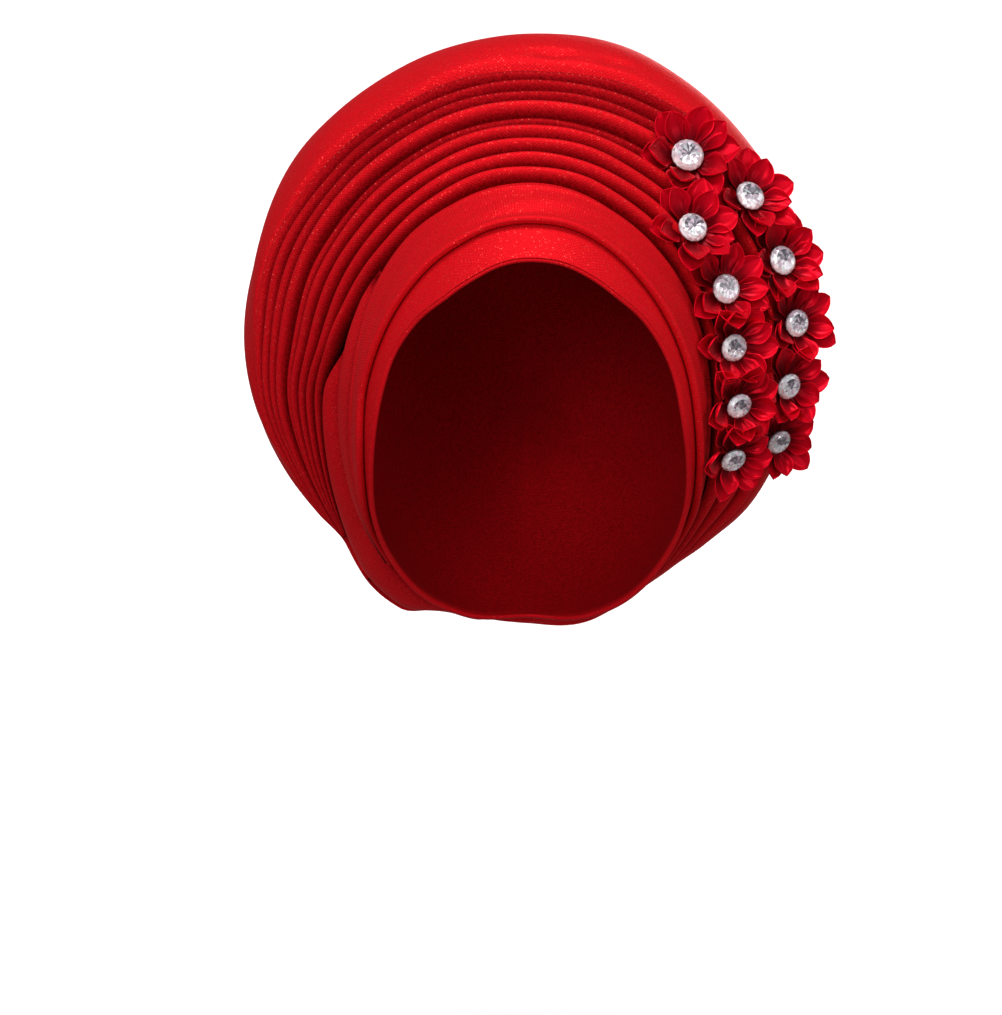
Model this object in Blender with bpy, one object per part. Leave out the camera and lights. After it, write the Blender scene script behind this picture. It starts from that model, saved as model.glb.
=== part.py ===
"""Tied gele head tie, built as separate layers of pleated cloth with satin flowers and stones.

The gele opens toward -Y, stands up along +Z and keeps its origin at the inside top of the cap.
Every layer is lofted through sections taken at bearings around a front-to-back axis, so the
layers follow one another and stay a named gap apart.
"""

import math

import bmesh
import bpy
from mathutils import Matrix, Vector
from mathutils.bvhtree import BVHTree

COLLECTION_NAME = "tied_gele_head_tie"

# Colour, roughness and metallic value of each finish.
FINISHES = {
    "cap": ((0.62, 0.01, 0.03), 0.55, 0.0),
    "band": ((0.66, 0.01, 0.03), 0.50, 0.0),
    "strip": ((0.60, 0.01, 0.03), 0.50, 0.0),
    "tail": ((0.56, 0.01, 0.03), 0.50, 0.0),
    "fan": ((0.70, 0.01, 0.03), 0.45, 0.0),
    "drape": ((0.52, 0.01, 0.025), 0.50, 0.0),
    "petal": ((0.78, 0.01, 0.04), 0.30, 0.0),
    "stone": ((0.86, 0.86, 0.90), 0.08, 0.6),
}

# Head form that the cap is fitted to.
HEAD_HALF_WIDTH = 0.078
HEAD_CROWN_HEIGHT = 0.108
HEAD_NAPE_HEIGHT = 0.112
HEAD_HALF_DEPTH = 0.097
HEAD_FULLNESS = 2.3

# Cloth walls and the clearances between neighbouring layers.
CAP_WALL = 0.0022
BAND_WALL = 0.0022
STRIP_WALL = 0.0024
TAIL_WALL = 0.0024
FAN_WALL = 0.0020
DRAPE_WALL = 0.0022
LAYER_GAP = 0.0004
SEAM_GAP = 0.0008
LEAN_ALLOWANCE = 1.2

# Folded lips and swells of the layers.
EDGE_ROLL = 0.0012
BAND_LIP = 0.0009
STRIP_SWELL = 0.0014
TAIL_SWELL = 0.0022

# Pleated fan and the drape behind it.
CROWN_RISE = 0.068
PLEAT_COUNT = 9
PLEAT_STEPS = 4
PLEAT_FULLNESS_SHARE = 0.36
FAN_BOW_SHARE = 0.035
BACK_DEPTH = 0.116
BACK_FULLNESS = 2.2
BACK_FOLD_HEIGHT = 0.0040
BAND_STEPS = 3
CAP_BACK_STEPS = 6
RAISED_STEPS = 5
RIM_STEPS = 5
BACK_STEPS = 8
FAN_BACK_STEPS = 5

# Satin flowers and the stones at their centres.
FLOWER_RADIUS = 0.0225
FLOWER_HEIGHT = 0.0066
FLOWER_FACING_SHARE = 0.12
FLOWER_GAP = 0.0004
PETAL_COUNT = 10
FOOT_STEPS = 100
NEIGHBOUR_RADII = 4
STONE_RADIUS = 0.0073
STONE_HEIGHT = 0.0042
STONE_FACETS = 8
STONE_GAP = 0.0003

# Sections are cut every few degrees; 0 is the wearer's left, 90 the top of the head.
BEARING_STEP_DEGREES = 8
FULL_TURN_DEGREES = 360
FAN_ARC_DEGREES = (-56, 216)
BAND_ARC_DEGREES = (-40, 216)
STRIP_ARC_DEGREES = (144, 216)
TAIL_ARC_DEGREES = (168, 240)

# Face side of the gele. Depths are shares of the head's half depth, lifts of the crown rise.
FACE_COLUMNS = ("bearing", "edge", "fold", "band_top", "strip_top", "strip_lift")
FACE_ROWS = (
    (-60, 0.20, 0.26, 0.32, 0.33, 0.070),
    (-48, -0.02, 0.06, 0.12, 0.13, 0.070),
    (-38, -0.24, -0.10, -0.04, -0.03, 0.070),
    (-25, -0.47, -0.37, -0.24, -0.23, 0.070),
    (-10, -0.615, -0.52, -0.345, -0.335, 0.070),
    (10, -0.705, -0.62, -0.41, -0.40, 0.070),
    (30, -0.79, -0.70, -0.485, -0.475, 0.070),
    (50, -0.86, -0.765, -0.57, -0.56, 0.070),
    (70, -0.890, -0.805, -0.635, -0.625, 0.070),
    (90, -0.902, -0.828, -0.648, -0.638, 0.070),
    (110, -0.896, -0.812, -0.62, -0.61, 0.070),
    (130, -0.868, -0.760, -0.54, -0.53, 0.070),
    (150, -0.795, -0.69, -0.50, -0.40, 0.085),
    (165, -0.73, -0.63, -0.48, -0.31, 0.105),
    (180, -0.67, -0.56, -0.44, -0.21, 0.110),
    (195, -0.585, -0.50, -0.35, -0.12, 0.105),
    (208, -0.46, -0.39, -0.26, -0.03, 0.090),
    (218, -0.28, -0.22, -0.12, 0.06, 0.080),
    (228, -0.05, 0.00, 0.06, 0.15, 0.075),
    (238, 0.15, 0.19, 0.23, 0.28, 0.072),
    (252, 0.40, 0.43, 0.45, 0.47, 0.070),
    (270, 0.56, 0.58, 0.60, 0.61, 0.070),
    (287, 0.40, 0.43, 0.46, 0.47, 0.070),
)

# Crown side of the gele: where the fan starts, its last groove and the widest line of the rim.
CROWN_COLUMNS = ("bearing", "base", "base_lift", "groove", "groove_lift", "rim", "rim_lift")
CROWN_ROWS = (
    (-60, 0.40, 0.075, 0.47, 0.120, 0.57, 0.23),
    (-48, 0.22, 0.075, 0.37, 0.165, 0.50, 0.27),
    (-38, 0.06, 0.080, 0.25, 0.240, 0.42, 0.35),
    (-25, -0.14, 0.090, 0.12, 0.385, 0.35, 0.50),
    (-10, -0.29, 0.090, 0.05, 0.510, 0.29, 0.62),
    (10, -0.37, 0.080, 0.02, 0.680, 0.27, 0.80),
    (30, -0.455, 0.072, 0.01, 0.785, 0.30, 0.95),
    (50, -0.545, 0.068, -0.01, 0.775, 0.34, 1.01),
    (70, -0.615, 0.066, -0.04, 0.665, 0.36, 1.03),
    (90, -0.630, 0.066, -0.05, 0.590, 0.36, 0.975),
    (110, -0.600, 0.066, -0.03, 0.630, 0.36, 0.98),
    (130, -0.520, 0.070, 0.04, 0.710, 0.37, 1.03),
    (150, -0.385, 0.090, 0.12, 0.755, 0.38, 0.955),
    (165, -0.26, 0.125, 0.20, 0.720, 0.40, 0.885),
    (180, -0.10, 0.210, 0.27, 0.666, 0.43, 0.787),
    (195, 0.04, 0.230, 0.33, 0.540, 0.45, 0.635),
    (208, 0.20, 0.260, 0.39, 0.435, 0.475, 0.50),
    (218, 0.36, 0.315, 0.45, 0.375, 0.515, 0.42),
    (228, 0.45, 0.355, 0.50, 0.405, 0.54, 0.43),
    (238, 0.52, 0.330, 0.555, 0.375, 0.59, 0.41),
    (252, 0.60, 0.100, 0.615, 0.115, 0.66, 0.22),
    (270, 0.64, 0.110, 0.65, 0.125, 0.70, 0.24),
    (287, 0.54, 0.100, 0.55, 0.115, 0.61, 0.22),
)

# Soft folds of the plain back: bearing and half spread in degrees, height as a share.
BACK_FOLD_COLUMNS = ("bearing", "spread", "height")
BACK_FOLD_ROWS = (
    (222, 9, 1.00),
    (246, 8, 0.80),
    (268, 9, 0.70),
    (292, 8, 0.90),
    (318, 10, 1.00),
    (345, 12, 0.60),
    (195, 12, 0.60),
)

# Flowers: each one's place is a share of the way from the fan's base to its last groove, and its
# bearing and the turn of its petals are in degrees.
FLOWER_COLUMNS = ("bearing", "place", "turn")
FLOWER_ROWS = (
    (56.7, 0.54, 4),
    (42.4, 0.74, 20),
    (28.6, 0.75, 12),
    (15.9, 0.79, 30),
    (3.0, 0.74, 8),
    (-9.3, 0.81, 26),
    (45.8, 0.19, 14),
    (28.7, 0.20, 34),
    (13.6, 0.12, 2),
    (-2.2, 0.08, 22),
    (-16.7, 0.02, 10),
)

# One petal of a flower, a quarter at a time: the notch, a shoulder, the tip and the other shoulder.
# Radii are shares of the flower's radius and heights of its height.
PETAL_COLUMNS = ("middle_radius", "middle_height", "outline_radius", "outline_height", "back_radius")
PETAL_ROWS = (
    (0.47, 0.50, 0.58, 0.45, 0.30),
    (0.62, 1.00, 0.77, 0.92, 0.32),
    (0.66, 0.72, 1.00, 0.90, 0.34),
    (0.62, 1.00, 0.77, 0.92, 0.32),
)
SEAT_HEIGHT_SHARE = 0.40
REST_STEPS = 12

# Stone: rings from the flat back to the table, as shares of its radius and height.
STONE_COLUMNS = ("radius", "height")
STONE_ROWS = (
    (0.94, 0.0),
    (1.00, 0.30),
    (0.52, 1.0),
)


def read_row(table, columns, name, bearing):
    """Return a named column at a bearing, eased between the rows of a table that goes all round."""
    place = columns.index(name)
    rows = sorted((row[0] % FULL_TURN_DEGREES, row[place]) for row in table)
    count = len(rows)
    turned = bearing % FULL_TURN_DEGREES
    after = next((i for i, row in enumerate(rows) if row[0] > turned), 0)
    order = [rows[(after + shift) % count] for shift in (-2, -1, 0, 1)]
    spans = [(order[i + 1][0] - order[i][0]) % FULL_TURN_DEGREES for i in range(3)]
    rates = [(order[i + 1][1] - order[i][1]) / spans[i] for i in range(3)]
    start_rate = ease_rate(rates[0], rates[1])
    end_rate = ease_rate(rates[1], rates[2])
    share = ((turned - order[1][0]) % FULL_TURN_DEGREES) / spans[1]
    square = share * share
    cube = square * share
    return (
        (2 * cube - 3 * square + 1) * order[1][1]
        + (cube - 2 * square + share) * spans[1] * start_rate
        + (3 * square - 2 * cube) * order[2][1]
        + (cube - square) * spans[1] * end_rate
    )


def ease_rate(before, after):
    """Return a slope between two slopes that never overshoots either of them."""
    if before * after <= 0:
        return 0.0
    return 2 * before * after / (before + after)


def blend(start, end, share):
    """Return the value a share of the way from start to end."""
    return start + (end - start) * share


def head_reach(bearing, depth):
    """Return how far the head form reaches from its axis at a bearing and a depth."""
    angle = math.radians(bearing)
    height = HEAD_CROWN_HEIGHT if math.sin(angle) > 0 else HEAD_NAPE_HEIGHT
    girth = 1 / math.hypot(math.cos(angle) / HEAD_HALF_WIDTH, math.sin(angle) / height)
    fill = max(0.0, 1 - (abs(depth) / HEAD_HALF_DEPTH) ** HEAD_FULLNESS)
    return girth * fill ** (1 / HEAD_FULLNESS)


def off_head(bearing, depth, lift):
    """Return the reach and depth of a point lifted square off the head form."""
    girth = head_reach(bearing, 0.0)
    reach = head_reach(bearing, depth)
    steepness = HEAD_FULLNESS - 1
    slope = Vector((
        (reach / girth) ** steepness / girth,
        math.copysign((abs(depth) / HEAD_HALF_DEPTH) ** steepness, depth) / HEAD_HALF_DEPTH,
    ))
    return Vector((reach, depth)) + slope.normalized() * lift


def beyond_head(bearing, depth, lift):
    """Return the reach and depth of a point moved straight away from the head form's axis."""
    return Vector((head_reach(bearing, depth) + lift, depth))


def place_point(bearing, point):
    """Turn a reach and depth at a bearing into a place in the frame."""
    angle = math.radians(bearing)
    return Vector((point.x * math.cos(angle), point.y, point.x * math.sin(angle) - HEAD_CROWN_HEIGHT))


def face_depth(name, bearing):
    """Return a depth of the face side in metres."""
    return read_row(FACE_ROWS, FACE_COLUMNS, name, bearing) * HEAD_HALF_DEPTH


def crown_point(name, bearing):
    """Return the reach and depth of a named line of the crown side."""
    depth = read_row(CROWN_ROWS, CROWN_COLUMNS, name, bearing) * HEAD_HALF_DEPTH
    lift = read_row(CROWN_ROWS, CROWN_COLUMNS, name + "_lift", bearing) * CROWN_RISE
    return beyond_head(bearing, depth, lift)


def arc_bearings(arc):
    """Return the bearings of the sections along an arc."""
    return list(range(arc[0], arc[1] + 1, BEARING_STEP_DEGREES))


def spread_depths(start, end, steps):
    """Return depths between two depths, spaced evenly along the curve of the head form."""
    first = head_turn(start)
    last = head_turn(end)
    return [depth_at_turn(blend(first, last, i / steps)) for i in range(steps + 1)]


def head_turn(depth):
    """Return the angle along the head form, from its front, at which a depth lies."""
    share = max(-1.0, min(1.0, depth / HEAD_HALF_DEPTH))
    return math.acos(-math.copysign(abs(share) ** (HEAD_FULLNESS / 2), share))


def depth_at_turn(turn):
    """Return the depth that lies at an angle along the head form."""
    share = -math.cos(turn)
    return math.copysign(abs(share) ** (2 / HEAD_FULLNESS), share) * HEAD_HALF_DEPTH


def side_direction(points, index):
    """Return the outward direction square to a profile at one of its points."""
    before = points[max(index - 1, 0)]
    after = points[min(index + 1, len(points) - 1)]
    along = (after - before).normalized()
    return Vector((along.y, -along.x))


def pull_in(points, wall):
    """Return a profile moved inward, square to itself, by a wall."""
    moved = []
    for index, point in enumerate(points):
        inner = point - side_direction(points, index) * wall
        moved.append(Vector((max(inner.x, 0.0), inner.y)))
    return moved


def add_object(name, mesh_data, finish):
    """Make an object from a bmesh, with a material of its own in a named finish."""
    bmesh.ops.recalc_face_normals(mesh_data, faces=mesh_data.faces)
    mesh = bpy.data.meshes.new(name)
    mesh_data.to_mesh(mesh)
    mesh_data.free()
    material = bpy.data.materials.new(name + "_material")
    material.use_nodes = True
    shader = material.node_tree.nodes["Principled BSDF"]
    colour, roughness, metallic = FINISHES[finish]
    shader.inputs["Base Color"].default_value = (*colour, 1.0)
    shader.inputs["Roughness"].default_value = roughness
    shader.inputs["Metallic"].default_value = metallic
    mesh.materials.append(material)
    item = bpy.data.objects.new(name, mesh)
    bpy.data.collections[COLLECTION_NAME].objects.link(item)
    return item


def loft_arc(bearings, sections):
    """Loft closed sections along an arc and close both ends."""
    solid = bmesh.new()
    rings = [
        [solid.verts.new(place_point(bearing, point)) for point in section]
        for bearing, section in zip(bearings, sections)
    ]
    for ring, following in zip(rings, rings[1:]):
        count = len(ring)
        for i in range(count):
            j = (i + 1) % count
            solid.faces.new((ring[i], ring[j], following[j], following[i]))
    solid.faces.new(rings[0])
    solid.faces.new(rings[-1])
    return solid


def loft_round(bearings, sections):
    """Loft open sections all the way round, their two ends meeting on the axis."""
    solid = bmesh.new()
    outer_pole = solid.verts.new(place_point(0, sections[0][0]))
    inner_pole = solid.verts.new(place_point(0, sections[0][-1]))
    rings = [
        [solid.verts.new(place_point(bearing, point)) for point in section[1:-1]]
        for bearing, section in zip(bearings, sections)
    ]
    for ring, following in zip(rings, rings[1:] + rings[:1]):
        solid.faces.new((outer_pole, ring[0], following[0]))
        solid.faces.new((inner_pole, following[-1], ring[-1]))
        for i in range(len(ring) - 1):
            solid.faces.new((ring[i], ring[i + 1], following[i + 1], following[i]))
    return solid


def cap_depths(bearing, folds):
    """Return the cap's depths, with steps between its folds that the bands over it share."""
    lines = [face_depth(name, bearing) for name in ("edge", "fold", "band_top", "strip_top")]
    depths = lines[:1]
    for start, end, steps in zip(lines, lines[1:], folds):
        depths += spread_depths(start, end, steps)[1:]
    return depths + spread_depths(lines[-1], HEAD_HALF_DEPTH, CAP_BACK_STEPS)[1:-1]


def cap_section(bearing):
    """Return the cap's section: outside from the back to the face, then inside to the back."""
    outer = [off_head(bearing, depth, CAP_WALL) for depth in cap_depths(bearing, (2, BAND_STEPS, 2))]
    inner = [off_head(bearing, depth, 0.0) for depth in cap_depths(bearing, (1, 1, 1))]
    nose = off_head(bearing, face_depth("edge", bearing), CAP_WALL / 2)
    nose.y -= EDGE_ROLL
    outer[0].y += EDGE_ROLL / 2
    outer_pole = Vector((0.0, HEAD_HALF_DEPTH + CAP_WALL))
    inner_pole = Vector((0.0, HEAD_HALF_DEPTH))
    return [outer_pole] + outer[::-1] + [nose] + inner + [inner_pole]


def build_cap():
    """Build the close-fitting cap whose smooth front shows as the face band."""
    bearings = list(range(0, FULL_TURN_DEGREES, BEARING_STEP_DEGREES))
    solid = loft_round(bearings, [cap_section(bearing) for bearing in bearings])
    return add_object("cap", solid, "cap")


def band_section(bearing):
    """Return the fold band's section: inside, then outside with its rounded lower lip."""
    fold = face_depth("fold", bearing)
    band_top = face_depth("band_top", bearing)
    depths = spread_depths(fold, band_top, BAND_STEPS)
    inner_lift = CAP_WALL + LAYER_GAP
    inner = [off_head(bearing, depth, inner_lift) for depth in depths]
    outer = [off_head(bearing, depth, inner_lift + BAND_WALL) for depth in depths]
    outer[0].x += BAND_LIP
    nose = off_head(bearing, fold, inner_lift + BAND_WALL / 2)
    nose.y -= BAND_LIP
    return inner + outer[::-1] + [nose]


def build_fold_band():
    """Build the wide band folded over the cap's front."""
    bearings = arc_bearings(BAND_ARC_DEGREES)
    solid = loft_arc(bearings, [band_section(bearing) for bearing in bearings])
    return add_object("fold_band", solid, "band")


def raised_section(bearing, depths, lifts, wall, swell):
    """Return a section that rises off the cap between two depths and swells at its middle."""
    floor = (CAP_WALL + LAYER_GAP) * LEAN_ALLOWANCE
    start_lift, end_lift = (max(floor, lift - wall) for lift in lifts)
    outer = []
    inner = []
    for i in range(RAISED_STEPS + 1):
        share = i / RAISED_STEPS
        depth = blend(*depths, share)
        rise = blend(start_lift, end_lift, share)
        bulge = swell * math.sin(math.pi * share)
        outer.append(beyond_head(bearing, depth, rise + wall + bulge))
        inner.append(beyond_head(bearing, depth, rise))
    return inner + outer[::-1]


def strip_section(bearing):
    """Return the side strip's section, just behind the fold band."""
    depths = (face_depth("band_top", bearing) + SEAM_GAP, face_depth("strip_top", bearing))
    lift = read_row(FACE_ROWS, FACE_COLUMNS, "strip_lift", bearing) * CROWN_RISE
    return raised_section(bearing, depths, (0.0, lift), STRIP_WALL, STRIP_SWELL)


def build_side_strip():
    """Build the narrow strip that comes out from under the fold band at the side."""
    bearings = arc_bearings(STRIP_ARC_DEGREES)
    solid = loft_arc(bearings, [strip_section(bearing) for bearing in bearings])
    return add_object("side_strip", solid, "strip")


def tail_section(bearing):
    """Return the tail wrap's section, from the side strip back to the start of the pleats."""
    start = face_depth("strip_top", bearing) + SEAM_GAP
    end = crown_point("base", bearing).y - 2 * SEAM_GAP
    front = read_row(FACE_ROWS, FACE_COLUMNS, "strip_lift", bearing) * CROWN_RISE
    rear = read_row(CROWN_ROWS, CROWN_COLUMNS, "base_lift", bearing) * CROWN_RISE
    return raised_section(bearing, (start, end), (front, rear), TAIL_WALL, TAIL_SWELL)


def build_tail_wrap():
    """Build the smooth tail that leaves the tuck at the side and runs down to the nape."""
    bearings = arc_bearings(TAIL_ARC_DEGREES)
    solid = loft_arc(bearings, [tail_section(bearing) for bearing in bearings])
    return add_object("tail_wrap", solid, "tail")


def fan_line(bearing, steps):
    """Return the fan's groove line at a bearing, from its base out to the rim groove."""
    base = crown_point("base", bearing)
    groove = crown_point("groove", bearing)
    span = groove - base
    outward = Vector((span.y, -span.x))
    return [
        base + span * (i / steps) + outward * FAN_BOW_SHARE * math.sin(math.pi * i / steps)
        for i in range(steps + 1)
    ]


def fan_section(bearing):
    """Return the fan's section: a row of rounded pleats outside, a smooth wall inside."""
    steps = PLEAT_COUNT * PLEAT_STEPS
    line = fan_line(bearing, steps)
    pitch = (line[-1] - line[0]).length / PLEAT_COUNT
    outer = []
    for i, point in enumerate(line):
        share = (i % PLEAT_STEPS) / PLEAT_STEPS
        height = PLEAT_FULLNESS_SHARE * pitch * math.sin(math.pi * share)
        outer.append(point + side_direction(line, i) * height)
    inner = pull_in(fan_line(bearing, FAN_BACK_STEPS), FAN_WALL)
    return outer + inner[::-1]


def build_pleated_fan():
    """Build the tall fan of nine rounded pleats that frames the face."""
    bearings = arc_bearings(FAN_ARC_DEGREES)
    solid = loft_arc(bearings, [fan_section(bearing) for bearing in bearings])
    return add_object("pleated_fan", solid, "fan")


def back_swell(bearing, share):
    """Return how far the soft back folds lift the drape at a bearing, a share of the way back."""
    lift = 0.0
    half_turn = FULL_TURN_DEGREES / 2
    for cells in BACK_FOLD_ROWS:
        fold = dict(zip(BACK_FOLD_COLUMNS, cells))
        away = (bearing - fold["bearing"] + half_turn) % FULL_TURN_DEGREES - half_turn
        lift += fold["height"] * math.exp(-((away / fold["spread"]) ** 2))
    return lift * BACK_FOLD_HEIGHT * math.sin(math.pi * min(1.0, share)) ** 2


def drape_profile(bearing):
    """Return the drape's outside, from its front edge over the rim to the back."""
    front = crown_point("groove", bearing)
    front.y += SEAM_GAP
    rim = crown_point("rim", bearing)
    points = []
    for i in range(RIM_STEPS + 1):
        turn = math.pi / 2 * i / RIM_STEPS
        points.append(Vector((
            blend(front.x, rim.x, math.sin(turn)),
            blend(front.y, rim.y, 1 - math.cos(turn)),
        )))
    for i in range(1, BACK_STEPS):
        turn = math.pi / 2 * i / BACK_STEPS
        reach = rim.x * math.cos(turn) ** (2 / BACK_FULLNESS)
        depth = blend(rim.y, BACK_DEPTH, math.sin(turn) ** (2 / BACK_FULLNESS))
        points.append(Vector((reach + back_swell(bearing, i / BACK_STEPS), depth)))
    return points


def drape_section(bearing):
    """Return the drape's section: outside from the back to its front edge, then inside."""
    outer = drape_profile(bearing)
    inner = pull_in(outer, DRAPE_WALL)
    for i in range(RIM_STEPS + 1):
        turn = math.pi / 2 * i / RIM_STEPS
        inner[i] = outer[i] + Vector((-math.sin(turn), math.cos(turn))) * DRAPE_WALL
    rolled = inner[:RIM_STEPS + 1]
    plain = inner[RIM_STEPS + 2::2]
    outer_pole = Vector((0.0, BACK_DEPTH))
    inner_pole = Vector((0.0, BACK_DEPTH - DRAPE_WALL))
    return [outer_pole] + outer[::-1] + rolled + plain + [inner_pole]


def build_crown_drape():
    """Build the plain cloth that rolls over the rim and closes the back down to the nape."""
    bearings = list(range(0, FULL_TURN_DEGREES, BEARING_STEP_DEGREES))
    solid = loft_round(bearings, [drape_section(bearing) for bearing in bearings])
    return add_object("crown_drape", solid, "drape")


def flower_outlook(bearing, place):
    """Return a flower's foot on the fan's groove line and the direction that it faces."""
    line = fan_line(bearing, FOOT_STEPS)
    index = round(place * FOOT_STEPS)
    foot = place_point(bearing, line[index])
    square = side_direction(line, index)
    angle = math.radians(bearing)
    outward = Vector((square.x * math.cos(angle), square.y, square.x * math.sin(angle)))
    return foot, outward.lerp(Vector((0.0, -1.0, 0.0)), FLOWER_FACING_SHARE).normalized()


def flower_frame(foot, facing, turn):
    """Return the placement of a flower whose petals turn about the way that it faces."""
    across = Vector((0.0, 0.0, 1.0)).cross(facing).normalized()
    upward = facing.cross(across)
    frame = Matrix((across, upward, facing)).transposed().to_4x4()
    return Matrix.Translation(foot) @ frame @ Matrix.Rotation(math.radians(turn), 4, "Z")


def petal_rings():
    """Return a flower's rings of points, from the seat over the petals to the backing."""
    points_each = len(PETAL_ROWS)
    count = PETAL_COUNT * points_each
    seat_radius = STONE_RADIUS + STONE_GAP
    rings = {"seat": [], "middle": [], "outline": [], "back": []}
    for i in range(count):
        turn = 2 * math.pi * i / count
        direction = Vector((math.cos(turn), math.sin(turn), 0.0))
        row = dict(zip(PETAL_COLUMNS, PETAL_ROWS[i % points_each]))
        raised = Vector((0.0, 0.0, FLOWER_HEIGHT))
        rings["seat"].append(direction * seat_radius + raised * SEAT_HEIGHT_SHARE)
        for ring in ("middle", "outline"):
            reach = row[ring + "_radius"] * FLOWER_RADIUS
            rings[ring].append(direction * reach + raised * row[ring + "_height"])
        rings["back"].append(direction * row["back_radius"] * FLOWER_RADIUS)
    return list(rings.values())


def keep_clear(point, half_ways):
    """Draw a flower's point in toward its foot until it is on its own side of its neighbours."""
    share = 1.0
    for away in half_ways:
        room = away.length - FLOWER_GAP / 2
        sideways = point.dot(away.normalized())
        if sideways > room:
            share = min(share, room / sideways)
    return point * share


def rest_height(frame, cloth):
    """Return how far a flower must rise so that its underside clears the cloth under it."""
    facing = frame.to_3x3() @ Vector((0.0, 0.0, 1.0))
    outline, back = petal_rings()[-2:]
    rise = 0.0
    for tip, root in zip(outline, back):
        for step in range(-REST_STEPS, REST_STEPS + 1):
            share = step / REST_STEPS
            under = root.lerp(tip, share) if share > 0 else root * (1 + share)
            start = frame @ (under + Vector((0.0, 0.0, FLOWER_RADIUS)))
            hit = cloth.ray_cast(start, -facing, 2 * FLOWER_RADIUS)
            if hit[0] is not None:
                rise = max(rise, (frame.inverted() @ hit[0]).z - under.z)
    return rise + FLOWER_GAP


def build_flower(name, frame, half_ways):
    """Build one flower: cupped pointed petals round a flat seat, closed by a flat backing."""
    solid = bmesh.new()
    rings = []
    for ring in petal_rings():
        rings.append([solid.verts.new(frame @ keep_clear(point, half_ways)) for point in ring])
    for ring, following in zip(rings, rings[1:]):
        for i in range(len(ring)):
            j = (i + 1) % len(ring)
            solid.faces.new((ring[i], ring[j], following[j], following[i]))
    solid.faces.new(rings[0])
    solid.faces.new(rings[-1])
    return add_object(name, solid, "petal")


def build_stone(name, frame):
    """Build one cut stone: a flat back, a slanted girdle, facets and a table."""
    solid = bmesh.new()
    floor = FLOWER_HEIGHT * SEAT_HEIGHT_SHARE + STONE_GAP
    rings = []
    for cells in STONE_ROWS:
        row = dict(zip(STONE_COLUMNS, cells))
        reach = row["radius"] * STONE_RADIUS
        height = floor + row["height"] * STONE_HEIGHT
        ring = []
        for i in range(STONE_FACETS):
            turn = 2 * math.pi * i / STONE_FACETS
            spot = Vector((reach * math.cos(turn), reach * math.sin(turn), height))
            ring.append(solid.verts.new(frame @ spot))
        rings.append(ring)
    for ring, following in zip(rings, rings[1:]):
        for i in range(STONE_FACETS):
            j = (i + 1) % STONE_FACETS
            solid.faces.new((ring[i], ring[j], following[j], following[i]))
    solid.faces.new(rings[0])
    solid.faces.new(rings[-1])
    return add_object(name, solid, "stone")


def join_cloth(items):
    """Return a search tree over the faces of several objects."""
    points = []
    faces = []
    for item in items:
        first = len(points)
        points += [vertex.co.copy() for vertex in item.data.vertices]
        faces += [[first + index for index in face.vertices] for face in item.data.polygons]
    return BVHTree.FromPolygons(points, faces)


def build_flowers(cloth):
    """Build the flowers and their stones, each resting on the cloth and clear of its neighbours."""
    reach = NEIGHBOUR_RADII * FLOWER_RADIUS
    frames = []
    for cells in FLOWER_ROWS:
        row = dict(zip(FLOWER_COLUMNS, cells))
        foot, facing = flower_outlook(row["bearing"], row["place"])
        frame = flower_frame(foot, facing, row["turn"])
        frames.append(frame @ Matrix.Translation((0.0, 0.0, rest_height(frame, cloth))))
    for number, frame in enumerate(frames, 1):
        inward = frame.inverted()
        half_ways = [
            (inward @ other.translation) / 2
            for other in frames
            if other is not frame and (other.translation - frame.translation).length < reach
        ]
        build_flower(f"flower_{number:02d}", frame, half_ways)
        build_stone(f"stone_{number:02d}", frame)


def main():
    """Build the whole gele."""
    for item in list(bpy.data.objects):
        bpy.data.objects.remove(item, do_unlink=True)
    collection = bpy.data.collections.new(COLLECTION_NAME)
    bpy.context.scene.collection.children.link(collection)
    build_cap()
    band = build_fold_band()
    build_side_strip()
    build_tail_wrap()
    fan = build_pleated_fan()
    drape = build_crown_drape()
    build_flowers(join_cloth((band, fan, drape)))


main()
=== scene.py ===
"""Dresses the tied gele head tie: pleated metallic cloth, satin ribbon flowers and foiled stones.

The gele opens toward -Y and stands up along +Z. Bearings go round the front-to-back axis of the
head: 0 is the wearer's left, 90 the top of the head and 180 the wearer's right. Lengths are in
metres, bearings and slopes in degrees. A ridge value or tone is a share of the way from a
finish's deep colour, a painted shade, to its lit one, a painted light: the cloth is painted darker
in its grooves, creases and hollows and lighter on its ridges and edges.
"""

from __future__ import annotations

import logging
import math
from dataclasses import dataclass
from enum import Enum

import bmesh
import bpy
import numpy as np
from mathutils import Matrix, Vector
from numpy.typing import NDArray


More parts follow.
